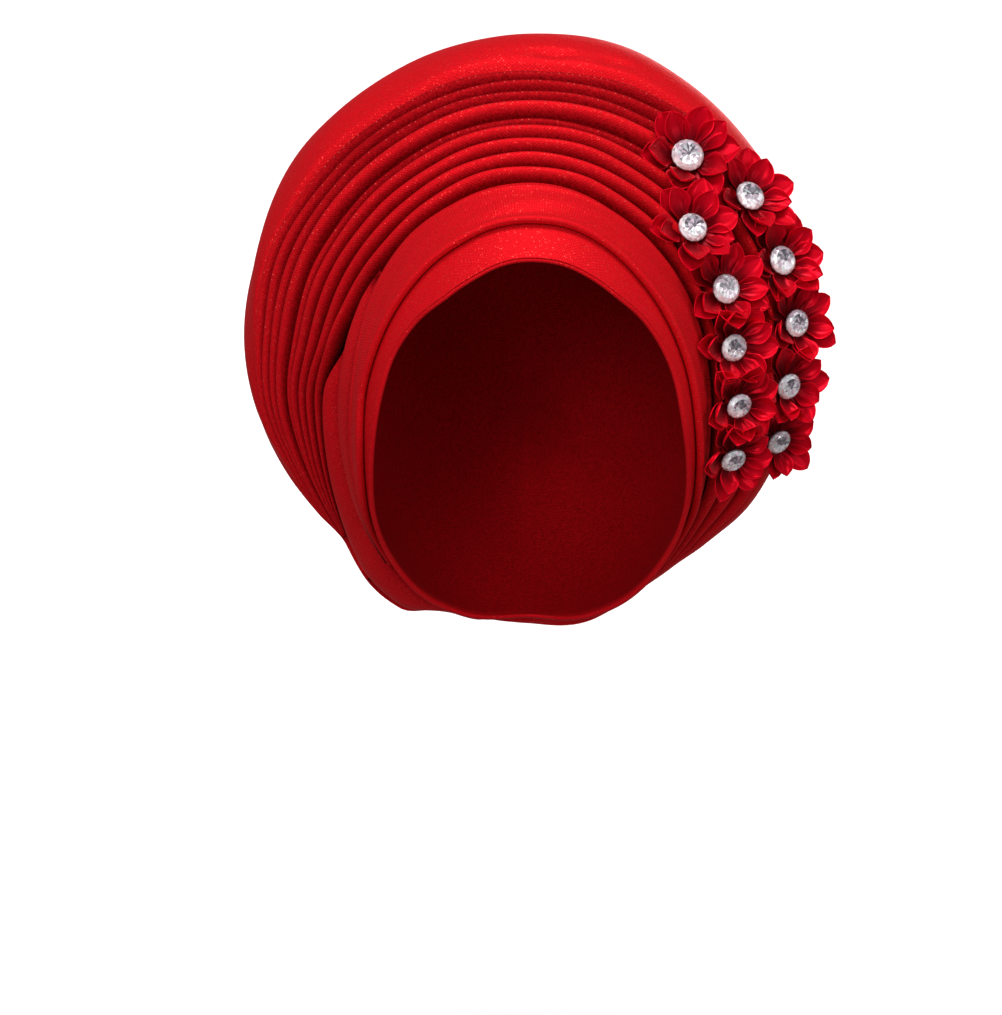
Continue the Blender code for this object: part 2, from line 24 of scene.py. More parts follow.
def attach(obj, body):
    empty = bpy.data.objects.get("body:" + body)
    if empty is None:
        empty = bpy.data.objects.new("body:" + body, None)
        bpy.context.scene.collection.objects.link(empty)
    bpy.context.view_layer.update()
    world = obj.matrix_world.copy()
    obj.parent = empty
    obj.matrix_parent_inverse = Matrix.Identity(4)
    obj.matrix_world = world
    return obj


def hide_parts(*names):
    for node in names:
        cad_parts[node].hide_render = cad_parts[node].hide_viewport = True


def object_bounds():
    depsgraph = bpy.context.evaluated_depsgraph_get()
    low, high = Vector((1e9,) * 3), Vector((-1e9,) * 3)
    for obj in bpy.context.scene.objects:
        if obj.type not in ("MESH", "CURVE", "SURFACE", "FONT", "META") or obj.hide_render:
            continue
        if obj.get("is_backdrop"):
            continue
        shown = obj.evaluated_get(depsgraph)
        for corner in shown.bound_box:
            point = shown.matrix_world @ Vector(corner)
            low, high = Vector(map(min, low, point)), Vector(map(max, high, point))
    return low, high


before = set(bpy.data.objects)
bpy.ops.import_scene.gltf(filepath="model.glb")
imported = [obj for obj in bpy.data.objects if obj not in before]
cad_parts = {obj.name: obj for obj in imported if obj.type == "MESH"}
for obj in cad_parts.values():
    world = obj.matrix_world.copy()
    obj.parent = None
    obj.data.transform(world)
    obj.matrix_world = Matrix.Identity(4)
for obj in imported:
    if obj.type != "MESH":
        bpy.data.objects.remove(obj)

Grid = NDArray[np.float64]
Colour = tuple[float, float, float, float]
Triple = tuple[float, float, float]
Piece = bpy.types.Object
Mesh = bpy.types.Mesh
Solid = bmesh.types.BMesh
Corner = bmesh.types.BMVert
Material = bpy.types.Material
Node = bpy.types.Node
Socket = bpy.types.NodeSocket

LOG = logging.getLogger("gele")
FULL_TURN = 360.0
WAVE_FALL = 1.2
WEAVE_MAP = "ClothLay"
RIDGE = "ridge"


def named_rows(columns: tuple[str, ...], rows: tuple[tuple[float, ...], ...]) -> list[dict[str, float]]:
    """Return a table's rows with a name for each cell."""
    return [dict(zip(columns, cells)) for cells in rows]


# Face side of the gele. Depths are shares of the head's half depth, lifts of the crown rise.
FACE_COLUMNS = ("bearing", "edge", "fold", "band_top", "strip_top", "strip_lift")
FACE_ROWS = (
    (-60, 0.20, 0.26, 0.32, 0.33, 0.070),
    (-48, -0.02, 0.06, 0.12, 0.13, 0.070),
    (-38, -0.24, -0.10, -0.04, -0.03, 0.070),
    (-25, -0.47, -0.37, -0.24, -0.23, 0.070),
    (-10, -0.615, -0.52, -0.345, -0.335, 0.070),
    (10, -0.705, -0.62, -0.41, -0.40, 0.070),
    (30, -0.79, -0.70, -0.485, -0.475, 0.070),
    (50, -0.86, -0.760, -0.595, -0.585, 0.070),
    (70, -0.890, -0.795, -0.668, -0.658, 0.070),
    (90, -0.902, -0.814, -0.685, -0.675, 0.070),
    (110, -0.896, -0.800, -0.655, -0.645, 0.070),
    (130, -0.868, -0.755, -0.565, -0.555, 0.070),
    (150, -0.795, -0.69, -0.50, -0.40, 0.085),
    (165, -0.73, -0.63, -0.48, -0.31, 0.105),
    (180, -0.67, -0.56, -0.44, -0.21, 0.110),
    (195, -0.585, -0.50, -0.35, -0.12, 0.105),
    (208, -0.46, -0.39, -0.26, -0.03, 0.090),
    (218, -0.28, -0.22, -0.12, 0.06, 0.080),
    (228, -0.05, 0.00, 0.06, 0.15, 0.075),
    (238, 0.15, 0.19, 0.23, 0.28, 0.072),
    (252, 0.40, 0.43, 0.45, 0.47, 0.070),
    (270, 0.56, 0.58, 0.60, 0.61, 0.070),
    (287, 0.40, 0.43, 0.46, 0.47, 0.070),
)

# Crown side of the gele: where the fan starts, its last groove and the widest line of the rim.
CROWN_COLUMNS = ("bearing", "base", "base_lift", "groove", "groove_lift", "rim", "rim_lift")
CROWN_ROWS = (
    (-60, 0.40, 0.075, 0.47, 0.120, 0.57, 0.23),
    (-48, 0.22, 0.075, 0.37, 0.165, 0.50, 0.27),
    (-38, 0.06, 0.080, 0.25, 0.240, 0.42, 0.35),
    (-25, -0.14, 0.090, 0.12, 0.385, 0.35, 0.50),
    (-10, -0.29, 0.090, 0.05, 0.510, 0.29, 0.62),
    (10, -0.37, 0.080, 0.02, 0.680, 0.27, 0.80),
    (30, -0.455, 0.072, 0.01, 0.785, 0.30, 0.95),
    (50, -0.570, 0.068, -0.01, 0.755, 0.34, 1.01),
    (70, -0.648, 0.066, -0.04, 0.635, 0.36, 1.03),
    (90, -0.667, 0.066, -0.05, 0.555, 0.36, 0.975),
    (110, -0.635, 0.066, -0.03, 0.595, 0.36, 0.98),
    (130, -0.545, 0.070, 0.04, 0.690, 0.37, 1.03),
    (150, -0.385, 0.090, 0.12, 0.755, 0.38, 0.955),
    (165, -0.26, 0.125, 0.20, 0.720, 0.40, 0.885),
    (180, -0.10, 0.210, 0.27, 0.666, 0.43, 0.787),
    (195, 0.04, 0.230, 0.33, 0.540, 0.45, 0.635),
    (208, 0.20, 0.260, 0.39, 0.435, 0.475, 0.50),
    (218, 0.36, 0.315, 0.45, 0.375, 0.515, 0.42),
    (228, 0.45, 0.355, 0.50, 0.405, 0.54, 0.43),
    (238, 0.52, 0.330, 0.555, 0.375, 0.59, 0.41),
    (252, 0.60, 0.100, 0.615, 0.115, 0.66, 0.22),
    (270, 0.64, 0.110, 0.65, 0.125, 0.70, 0.24),
    (287, 0.54, 0.100, 0.55, 0.115, 0.61, 0.22),
)

# Soft folds of the plain back: bearing and half spread in degrees, height as a share.
BACK_FOLDS = named_rows(("bearing", "spread", "height"), (
    (222, 9, 1.00),
    (246, 8, 0.80),
    (268, 9, 0.70),
    (292, 8, 0.90),
    (318, 10, 1.00),
    (345, 12, 0.60),
    (195, 12, 0.60),
))

# Small creases in the rim's roll: bearing and half spread in degrees, depth in metres, how far
# over the roll they lie as a share, and how much that share falls with each degree.
RIM_CREASES = named_rows(("bearing", "spread", "depth", "run", "drift"), (
    (85.5, 3.0, 0.0026, 0.30, 0.0),
    (75.5, 2.4, 0.0020, 0.31, 0.012),
))

# Pleats of the fan from the face outward: width and fullness as shares of an even pleat's, how
# much of the fold stands proud, how thick the row of glitter dots, partly painted glints, is along
# its ridge and how bright the fold is painted: a painted shade that darkens the sunken fifth fold
# and the three outermost ones most.
PLEATS = named_rows(("width", "fullness", "proud", "glitter", "tone"), (
    (0.94, 0.95, 0.00, 0.35, 0.96),
    (0.98, 1.00, 0.02, 0.30, 0.94),
    (1.00, 1.02, 0.03, 0.30, 0.88),
    (1.02, 1.00, 0.02, 0.45, 0.80),
    (0.78, 0.66, -0.12, 0.55, 0.42),
    (1.16, 1.12, 0.10, 0.75, 0.88),
    (1.02, 1.00, 0.02, 0.90, 0.46),
    (1.04, 1.02, 0.02, 0.85, 0.48),
    (1.04, 1.02, 0.00, 0.90, 0.44),
))

# Flowers: each one's place is a share of the way from the fan's base to its last groove, its
# bearing and the turn of its petals are in degrees, the tip is how far it is turned to the front,
# as a share, and the nod is how far it leans down, in degrees. The size scales petals and stone.
FLOWERS = named_rows(("bearing", "place", "turn", "tip", "nod", "size"), (
    (56.7, 0.54, 4, 0.60, 0, 1.08),
    (42.4, 0.74, 20, 0.24, 0, 1.02),
    (28.6, 0.75, 12, 0.16, 4, 0.99),
    (15.9, 0.79, 30, 0.16, 8, 0.93),
    (3.0, 0.74, 8, 0.22, 12, 0.90),
    (-9.3, 0.81, 26, 0.26, 15, 0.89),
    (45.8, 0.19, 14, 0.25, 0, 0.98),
    (28.7, 0.20, 34, 0.14, 5, 0.97),
    (13.6, 0.12, 2, 0.16, 10, 0.91),
    (-2.2, 0.08, 22, 0.20, 14, 0.89),
    (-16.7, 0.02, 10, 0.26, 17, 0.88),
))

# Loops of a stone from its seat up: radius as a share, height in metres, turn as a share of a
# facet, and the darkest and brightest foil of the facets above the loop, a painted reflection that
# differs facet by facet.
STONE_LOOPS = named_rows(("radius", "height", "turn", "darkest", "brightest"), (
    (0.96, 0.0000, 0.0, 0.30, 0.50),
    (1.02, 0.0008, 0.0, 0.25, 0.55),
    (1.00, 0.0014, 0.0, 0.60, 1.00),
    (0.88, 0.0024, 0.5, 0.55, 1.00),
    (0.72, 0.0032, 0.0, 0.00, 0.85),
    (0.46, 0.0032, 0.5, 0.00, 0.75),
    (0.12, 0.0032, 0.0, 0.00, 0.20),
))


class Weave(Enum):
    """The ways the cloth's threads cross."""

    PLAIN = 0.0
    TWILL = 45.0


def smooth_step(low: float, high: float, value: Grid) -> Grid:
    """Ease from 0 at low to 1 at high."""
    share = np.clip((value - low) / (high - low), 0.0, 1.0)
    return share * share * (3.0 - 2.0 * share)


def hump(value: Grid, centre: float, spread: float) -> Grid:
    """Return a soft bump of height 1 at a centre."""
    return np.exp(-(((value - centre) / spread) ** 2))


def eased(least: float, share: Grid) -> Grid:
    """Return a value that grows from least to 1 as a share does from 0 to 1."""
    return least + (1 - least) * share


def turn_away(bearing: Grid, centre: float) -> Grid:
    """Return the signed angle from a centre, the short way round."""
    return np.mod(bearing - centre + FULL_TURN / 2, FULL_TURN) - FULL_TURN / 2


def ripple(seed: int, count: int, slowest: float, fastest: float, place: Grid) -> Grid:
    """Return an uneven wave between about -1 and 1, the same one each time.

    Args:
        seed: Chooses the wave.
        count: How many waves are added.
        slowest: The lowest number of waves in one unit of place.
        fastest: The highest number of waves in one unit of place.
        place: Where the wave is read.

    Returns:
        The wave's value at each place.
    """
    chance = np.random.default_rng(seed)
    total = np.zeros_like(place)
    for _ in range(count):
        rate = chance.uniform(slowest, fastest)
        total += chance.uniform(0.5, 1.0) * np.sin(2 * math.pi * (rate * place + chance.random()))
    return total / (WAVE_FALL * count ** 0.5)


def round_ripple(seed: int, count: int, fewest: int, most: int, bearing: Grid) -> Grid:
    """Return an uneven wave that meets itself after a full turn.

    Args:
        seed: Chooses the wave.
        count: How many waves are added.
        fewest: The lowest number of waves in a turn.
        most: The highest number of waves in a turn.
        bearing: The bearings in degrees where the wave is read.

    Returns:
        The wave's value, between about -1 and 1.
    """
    chance = np.random.default_rng(seed)
    total = np.zeros_like(bearing, dtype=float)
    for _ in range(count):
        waves = int(chance.integers(fewest, most + 1))
        start = 2 * math.pi * chance.random()
        total += chance.uniform(0.5, 1.0) * np.sin(waves * np.radians(bearing) + start)
    return total / (WAVE_FALL * count ** 0.5)


@dataclass(frozen=True)
class RoundTable:
    """Rows of shares that go all the way round, eased between neighbours."""

    columns: tuple[str, ...]
    rows: tuple[tuple[float, ...], ...]

    def read(self, name: str, bearings: Grid) -> Grid:
        """Return a named column at some bearings.

        Args:
            name: The column's name.
            bearings: The bearings in degrees.

        Returns:
            The column's value at each bearing, never past its neighbouring rows.
        """
        place = self.columns.index(name)
        rows = np.array(sorted((row[0] % FULL_TURN, row[place]) for row in self.rows))
        turns, values = rows.T
        spans = np.diff(np.append(turns, turns[0] + FULL_TURN))
        rates = np.diff(np.append(values, values[0])) / spans
        before = np.roll(rates, 1)
        same_way = before * rates > 0
        total = np.where(same_way, before + rates, 1.0)
        slopes = np.where(same_way, 2 * before * rates / total, 0.0)
        turned = np.mod(bearings, FULL_TURN)
        start = (np.searchsorted(turns, turned, side="right") - 1) % len(turns)
        end = (start + 1) % len(turns)
        share = np.mod(turned - turns[start], FULL_TURN) / spans[start]
        square, cube = share ** 2, share ** 3
        return (
            (2 * cube - 3 * square + 1) * values[start]
            + (cube - 2 * square + share) * spans[start] * slopes[start]
            + (3 * square - 2 * cube) * values[end]
            + (cube - square) * spans[start] * slopes[end]
        )


@dataclass(frozen=True)
class HeadForm:
    """The head form that every layer of cloth is laid over."""

    half_width: float = 0.078
    crown_height: float = 0.108
    nape_height: float = 0.112
    half_depth: float = 0.097
    fullness: float = 2.3
    crown_rise: float = 0.068
    face: RoundTable = RoundTable(FACE_COLUMNS, FACE_ROWS)
    crown: RoundTable = RoundTable(CROWN_COLUMNS, CROWN_ROWS)

    def reach(self, bearing: Grid, depth: Grid) -> Grid:
        """Return how far the form reaches from its axis.

        Args:
            bearing: The bearings in degrees.
            depth: The depths in metres, from the form's middle toward its back.

        Returns:
            The reach in metres at each bearing and depth.
        """
        angle = np.radians(bearing)
        height = np.where(np.sin(angle) > 0, self.crown_height, self.nape_height)
        girth = 1 / np.hypot(np.cos(angle) / self.half_width, np.sin(angle) / height)
        fill = np.clip(1 - (np.abs(depth) / self.half_depth) ** self.fullness, 0.0, 1.0)
        return girth * fill ** (1 / self.fullness)

    def off(self, bearing: Grid, depth: Grid, lift: Grid) -> Grid:
        """Return reach and depth of points lifted square off the form.

        Args:
            bearing: The bearings in degrees.
            depth: The depths in metres.
            lift: How far each point stands off the form.

        Returns:
            Reach and depth of each point, in the last axis.
        """
        girth = self.reach(bearing, np.zeros_like(depth))
        reach = self.reach(bearing, depth)
        steepness = self.fullness - 1
        slope = np.stack((
            (reach / girth) ** steepness / girth,
            np.sign(depth) * (np.abs(depth) / self.half_depth) ** steepness / self.half_depth,
        ), axis=-1)
        slope /= np.linalg.norm(slope, axis=-1, keepdims=True)
        return np.stack((reach, depth), axis=-1) + slope * np.asarray(lift)[..., None]

    def beyond(self, bearing: Grid, depth: Grid, lift: Grid) -> Grid:
        """Return reach and depth of points moved straight away from the axis."""
        return np.stack((self.reach(bearing, depth) + lift, depth), axis=-1)

    def place(self, bearing: Grid, section: Grid) -> Grid:
        """Turn reach and depth at some bearings into points of the frame.

        Args:
            bearing: The bearings in degrees.
            section: Reach and depth in the last axis.

        Returns:
            The points, with x, y and z in the last axis.
        """
        angle = np.radians(bearing)
        return np.stack((
            section[..., 0] * np.cos(angle),
            section[..., 1] * np.ones_like(angle),
            section[..., 0] * np.sin(angle) - self.crown_height,
        ), axis=-1)

    def face_depth(self, name: str, bearing: Grid) -> Grid:
        """Return a depth of the face side in metres."""
        return self.face.read(name, bearing) * self.half_depth

    def crown_point(self, name: str, bearing: Grid) -> Grid:
        """Return reach and depth of a named line of the crown side.

        Args:
            name: The line's column.
            bearing: The bearings in degrees.

        Returns:
            Reach and depth of the line at each bearing.
        """
        depth = self.crown.read(name, bearing) * self.half_depth
        lift = self.crown.read(name + "_lift", bearing) * self.crown_rise
        return self.beyond(bearing, depth, lift)

    def turn(self, depth: Grid) -> Grid:
        """Return the angle along the form, from its front, at which a depth lies."""
        share = np.clip(depth / self.half_depth, -1.0, 1.0)
        return np.arccos(-np.sign(share) * np.abs(share) ** (self.fullness / 2))

    def spread(self, start: Grid, end: Grid, shares: Grid) -> Grid:
        """Return depths between two depths, spaced evenly along the form.

        Args:
            start: The first depth at each bearing.
            end: The last depth at each bearing.
            shares: How far along each point of the row lies, from 0 to 1.

        Returns:
            A row of depths for each bearing.
        """
        first, last = self.turn(start)[:, None], self.turn(end)[:, None]
        share = -np.cos(first + (last - first) * shares[None, :])
        return np.sign(share) * np.abs(share) ** (2 / self.fullness) * self.half_depth


HEAD = HeadForm()


def side_of(line: Grid) -> Grid:
    """Return the outward direction square to each row of a profile.

    Args:
        line: Rows of reach and depth.

    Returns:
        A direction of length 1 at each point.
    """
    along = np.gradient(line, axis=1)
    along /= np.maximum(np.linalg.norm(along, axis=-1, keepdims=True), 1e-12)
    return np.stack((along[..., 1], -along[..., 0]), axis=-1)


def arc_lengths(points: Grid, axis: int) -> Grid:
    """Return the length run along a grid of points, from its first row or column.

    Args:
        points: The grid of points.
        axis: The axis of the grid to run along.

    Returns:
        The length in metres at each point.
    """
    steps = np.linalg.norm(np.diff(points, axis=axis), axis=-1)
    start = np.zeros_like(np.take(steps, [0], axis=axis))
    return np.concatenate((start, np.cumsum(steps, axis=axis)), axis=axis)


def cloth_lay(along: Grid, points: Grid) -> Grid:
    """Return the lay of a cloth's threads: its run along, as given, and across at each point."""
    return np.stack((np.broadcast_to(along, points.shape[:2]), arc_lengths(points, 1)), axis=-1)


def tucked_ends(arc: tuple[float, float], tucks: tuple[float, float], bearing: Grid) -> Grid:
    """Return how full a strip is, from 0 where its ends are tucked away to 1."""
    first = smooth_step(arc[0], arc[0] + tucks[0], bearing)
    return first * smooth_step(arc[1], arc[1] - tucks[1], bearing)


def mark_cloth(mesh: Mesh, lay: Grid, ridge: Grid) -> None:
    """Write the lay of the threads and the ridge values that the finishes read.

    Args:
        mesh: The mesh of the cloth.
        lay: The lay of the threads at each point.
        ridge: A value from 0 in the grooves to 1 on the ridges at each point, which the finishes turn into
            painted shade and painted light.
    """
    layer = mesh.uv_layers.new(name=WEAVE_MAP)
    used = np.zeros(len(mesh.loops), np.int32)
    mesh.loops.foreach_get("vertex_index", used)
    layer.data.foreach_set("uv", lay.reshape(-1, 2)[used].ravel().astype(np.float32))
    heights = mesh.attributes.new(RIDGE, "FLOAT", "POINT")
    heights.data.foreach_set("value", ridge.ravel().astype(np.float32))


@dataclass(frozen=True)
class ClothGrid:
    """A grid of points of a layer of cloth, ready to become a mesh."""

    points: Grid
    ridge: Grid
    lay: Grid
    closed: bool = False

    def build(self, name: str, material: Material, wall: float = 0.0) -> Piece:
        """Make the grid's mesh object.

        Args:
            name: The object's name.
            material: The material that it wears.
            wall: How far the cloth is thickened inward, or 0 where the grid closes on itself.

        Returns:
            The new object, linked to the scene.
        """
        across, along = self.points.shape[:2]
        index = np.arange(across * along).reshape(across, along)
        if self.closed:
            index = np.concatenate((index, index[:, :1]), axis=1)
        corners = np.stack((index[:-1, :-1], index[:-1, 1:], index[1:, 1:], index[1:, :-1]), axis=-1)
        faces = corners.reshape(-1, 4)
        mesh = bpy.data.meshes.new(name)
        mesh.from_pydata(self.points.reshape(-1, 3).tolist(), [], faces.tolist())
        mark_cloth(mesh, self.lay, self.ridge)
        piece = add_piece(name, mesh, material)
        seal(piece)
        if wall:
            thicken = piece.modifiers.new("cloth wall", "SOLIDIFY")
            thicken.thickness = wall
            thicken.offset = -1.0
        return piece


def add_piece(name: str, mesh: Mesh, material: Material) -> Piece:
    """Put a mesh in the scene as an object with a material.

    Args:
        name: The object's name.
        mesh: Its mesh.
        material: The material that it wears.

    Returns:
        The new object.
    """
    mesh.materials.append(material)
    piece = bpy.data.objects.new(name, mesh)
    bpy.context.scene.collection.objects.link(piece)
    return piece


def seal(piece: Piece) -> None:
    """Join the points of a mesh that meet, drop its empty faces and smooth it.

    Args:
        piece: The mesh object.
    """
    solid = bmesh.new()
    solid.from_mesh(piece.data)
    bmesh.ops.remove_doubles(solid, verts=solid.verts, dist=1e-6)
    bmesh.ops.dissolve_degenerate(solid, edges=solid.edges, dist=1e-7)
    solid.to_mesh(piece.data)
    solid.free()
    piece.data.shade_smooth()


def face_outward(piece: Piece) -> None:
    """Turn an open sheet's faces to look away from the head's axis.

    Args:
        piece: The sheet's mesh object.
    """
    mesh = piece.data
    total = 0.0
    for face in mesh.polygons:
        away = Vector((face.center.x, 0.0, face.center.z + HEAD.crown_height))
        total += face.normal.dot(away) * face.area
    if total < 0:
        mesh.flip_normals()


def close_ends(piece: Piece) -> None:
    """Fill the open ends of a tube of cloth and turn all faces outward.

    Args:
        piece: The tube's mesh object.
    """
    solid = bmesh.new()
    solid.from_mesh(piece.data)
    rim = [edge for edge in solid.edges if edge.is_boundary]
    bmesh.ops.holes_fill(solid, edges=rim, sides=0)
    bmesh.ops.recalc_face_normals(solid, faces=solid.faces)
    solid.to_mesh(piece.data)
    solid.free()
    piece.data.shade_smooth()


class NodePlan:
    """Places and joins the nodes of one material or node group."""

    def __init__(self, tree: bpy.types.NodeTree) -> None:
        """Start on a tree."""
        self.tree = tree

    def add(self, kind: str, **settings: object) -> Node:
        """Add a node.

        Args:
            kind: The node's type.
            settings: The properties to set on it.

        Returns:
            The new node.
        """
        node = self.tree.nodes.new(kind)
        for key, value in settings.items():
            setattr(node, key, value)
        return node

    def join(self, source: Socket, target: Socket) -> None:
        """Join an output to an input."""
        self.tree.links.new(source, target)

    def feed(self, target: Socket, value: object) -> None:
        """Set an input to a constant, or join an output to it.

        Args:
            target: The input.
            value: The constant or the output.
        """
        if isinstance(value, Socket):
            self.join(value, target)
        else:
            target.default_value = value

    def math(self, operation: str, *values: object) -> Socket:
        """Work on numbers.

        Args:
            operation: The math node's operation.
            values: The constants or outputs that it works on.

        Returns:
            The output that holds the result.
        """
        node = self.add("ShaderNodeMath", operation=operation)
        for socket, value in zip(node.inputs, values):
            self.feed(socket, value)
        return node.outputs[0]

    def vector(self, operation: str, *values: object) -> Socket:
        """Work on vectors.

        Args:
            operation: The vector math node's operation.
            values: The constants or outputs that it works on.

        Returns:
            The output that holds the result, a number for a dot product.
        """
        node = self.add("ShaderNodeVectorMath", operation=operation)
        for socket, value in zip(node.inputs, values):
            self.feed(socket, value)
        return node.outputs["Value" if operation == "DOT_PRODUCT" else "Vector"]

    def scaled(self, source: Socket, factor: object) -> Socket:
        """Multiply a vector by a number.

        Args:
            source: The vector's output.
            factor: The constant or output to multiply by.

        Returns:
            The output that holds the longer or shorter vector.
        """
        node = self.add("ShaderNodeVectorMath", operation="SCALE")
        self.feed(node.inputs[0], source)
        self.feed(node.inputs["Scale"], factor)
        return node.outputs[0]

    def mix(self, factor: object, first: object, second: object) -> Socket:
        """Mix two colours.

        Args:
            factor: The share of the second colour.
            first: The first colour, a constant or an output.
            second: The second colour, a constant or an output.

        Returns:
            The output that holds the mixed colour.
        """
        node = self.add("ShaderNodeMix", data_type="RGBA")
        for place, value in ((0, factor), (6, first), (7, second)):
            self.feed(node.inputs[place], value)
        return node.outputs[2]

    def ramp(self, value: Socket, low: float, high: float, falling: bool = False) -> Socket:
        """Ease a value from 0 at low to 1 at high.

        Args:
            value: The output to ease.
            low: Where the change starts.
            high: Where the change ends.
            falling: True to ease from 1 at low to 0 at high instead.

        Returns:
            The output that holds the eased value.
        """
        node = self.add("ShaderNodeMapRange", interpolation_type="SMOOTHSTEP")
        self.feed(node.inputs["Value"], value)
        start, end = (1.0, 0.0) if falling else (0.0, 1.0)
        set_constants(node, {"From Min": low, "From Max": high, "To Min": start, "To Max": end})
        return node.outputs[0]

    def noise(self, place: Socket, scale: object, detail: float = 2.0) -> Socket:
        """Add a soft noise between 0 and 1.

        Args:
            place: Where the noise is read.
            scale: How fine it is, a constant or an output.
            detail: How many finer waves it has.

        Returns:
            The output that holds the noise.
        """
        node = self.add("ShaderNodeTexNoise")
        self.feed(node.inputs["Vector"], place)
        self.feed(node.inputs["Scale"], scale)
        node.inputs["Detail"].default_value = detail
        return node.outputs["Fac"]


def set_constants(node: Node, values: dict[str, object]) -> None:
    """Set named inputs of a node to constants."""
    for key, value in values.items():
        node.inputs[key].default_value = value


class EffectGroup:
    """A shader node group with named inputs and outputs, made once and used in many materials."""

    def __init__(self, name: str, inputs: dict[str, object], outputs: dict[str, str]) -> None:
        """Make the group and its sockets.

        Args:
            name: The group's name.
            inputs: Each input's name with its default value: a number, a colour, or None for a vector.
            outputs: Each output's name with its socket type.
        """
        self.tree = bpy.data.node_groups.new(name, "ShaderNodeTree")
        for key, value in inputs.items():
            self.add_input(key, value)
        for key, kind in outputs.items():
            self.tree.interface.new_socket(name=key, in_out="OUTPUT", socket_type=kind)
        self.plan = NodePlan(self.tree)
        self.given = self.plan.add("NodeGroupInput").outputs
        self.made = self.plan.add("NodeGroupOutput").inputs

    def add_input(self, name: str, value: object) -> None:
        """Add one input socket.

        Args:
            name: The input's name.
            value: Its default value: a number, a colour, or None for a vector.
        """
        if value is None:
            self.tree.interface.new_socket(name=name, in_out="INPUT", socket_type="NodeSocketVector")
            return
        kind = "NodeSocketFloat" if isinstance(value, float) else "NodeSocketColor"
        socket = self.tree.interface.new_socket(name=name, in_out="INPUT", socket_type=kind)
        socket.default_value = value

    def use(self, plan: NodePlan, **values: object) -> bpy.types.bpy_prop_collection:
        """Place the group in a material.

        Args:
            plan: The material's node plan.
            values: Constants or outputs for the group's inputs.

        Returns:
            The group's outputs.
        """
        node = plan.add("ShaderNodeGroup", node_tree=self.tree)
        for key, value in values.items():
            plan.feed(node.inputs[key], value)
        return node.outputs


def thread_group() -> EffectGroup:
    """Build the weave effect: crossing threads with small dark gaps between them.

    Returns:
        The group, which puts out the threads' height and a mask of the gaps.
    """
    group = EffectGroup(
        "crossed threads",
        {"Lay": None, "Spacing": 0.0014, "Slant": 0.0, "Wander": 0.22},
        {"Height": "NodeSocketFloat", "Gaps": "NodeSocketFloat"},
    )
    plan, given = group.plan, group.given
    turned = plan.add("ShaderNodeVectorRotate", rotation_type="Z_AXIS")
    plan.join(given["Lay"], turned.inputs["Vector"])
    plan.join(plan.math("RADIANS", given["Slant"]), turned.inputs["Angle"])
    rate = plan.math("DIVIDE", math.pi, given["Spacing"])
    drift = plan.math("SUBTRACT", plan.noise(given["Lay"], 180.0), 0.5)
    wander = plan.math("MULTIPLY", drift, plan.math("MULTIPLY", given["Wander"], 20.0))
    parts = plan.add("ShaderNodeSeparateXYZ")
    plan.join(plan.scaled(turned.outputs[0], rate), parts.inputs[0])
    warp = plan.math("SINE", plan.math("ADD", parts.outputs[0], wander))
    weft = plan.math("SINE", plan.math("ADD", parts.outputs[1], wander))
    height = plan.math("MULTIPLY_ADD", plan.math("MULTIPLY", warp, weft), 0.5, 0.5)
    plan.join(height, group.made["Height"])
    plan.join(plan.ramp(height, 0.0, 0.55, falling=True), group.made["Gaps"])
    return group


def flake_group() -> EffectGroup:
    """Build the glitter effect: scattered small flakes, each tipped its own way.

    Returns:
        The group, which puts out a mask of the flakes, their tipped height and their shade.
    """
    group = EffectGroup(
        "glitter flakes",
        {"Place": None, "Size": 0.0009, "Amount": 0.2},
        {"Mask": "NodeSocketFloat", "Tip": "NodeSocketFloat", "Shade": "NodeSocketFloat"},
    )
    plan, given = group.plan, group.given
    scale = plan.math("DIVIDE", 1.0, given["Size"])
    cells = plan.add("ShaderNodeTexVoronoi")
    plan.join(given["Place"], cells.inputs["Vector"])
    plan.join(scale, cells.inputs["Scale"])
    chance = plan.add("ShaderNodeSeparateColor")
    plan.join(cells.outputs["Color"], chance.inputs[0])
    chosen = plan.math("LESS_THAN", chance.outputs[0], given["Amount"])
    inside = plan.ramp(cells.outputs["Distance"], 0.25, 0.5, falling=True)
    centre = plan.scaled(cells.outputs["Position"], scale)
    offset = plan.vector("SUBTRACT", plan.scaled(given["Place"], scale), centre)
    lean = plan.vector("SUBTRACT", cells.outputs["Color"], (0.5, 0.5, 0.5))
    plan.join(plan.math("MULTIPLY", chosen, inside), group.made["Mask"])
    plan.join(plan.vector("DOT_PRODUCT", offset, lean), group.made["Tip"])
    plan.join(chance.outputs[1], group.made["Shade"])
    return group


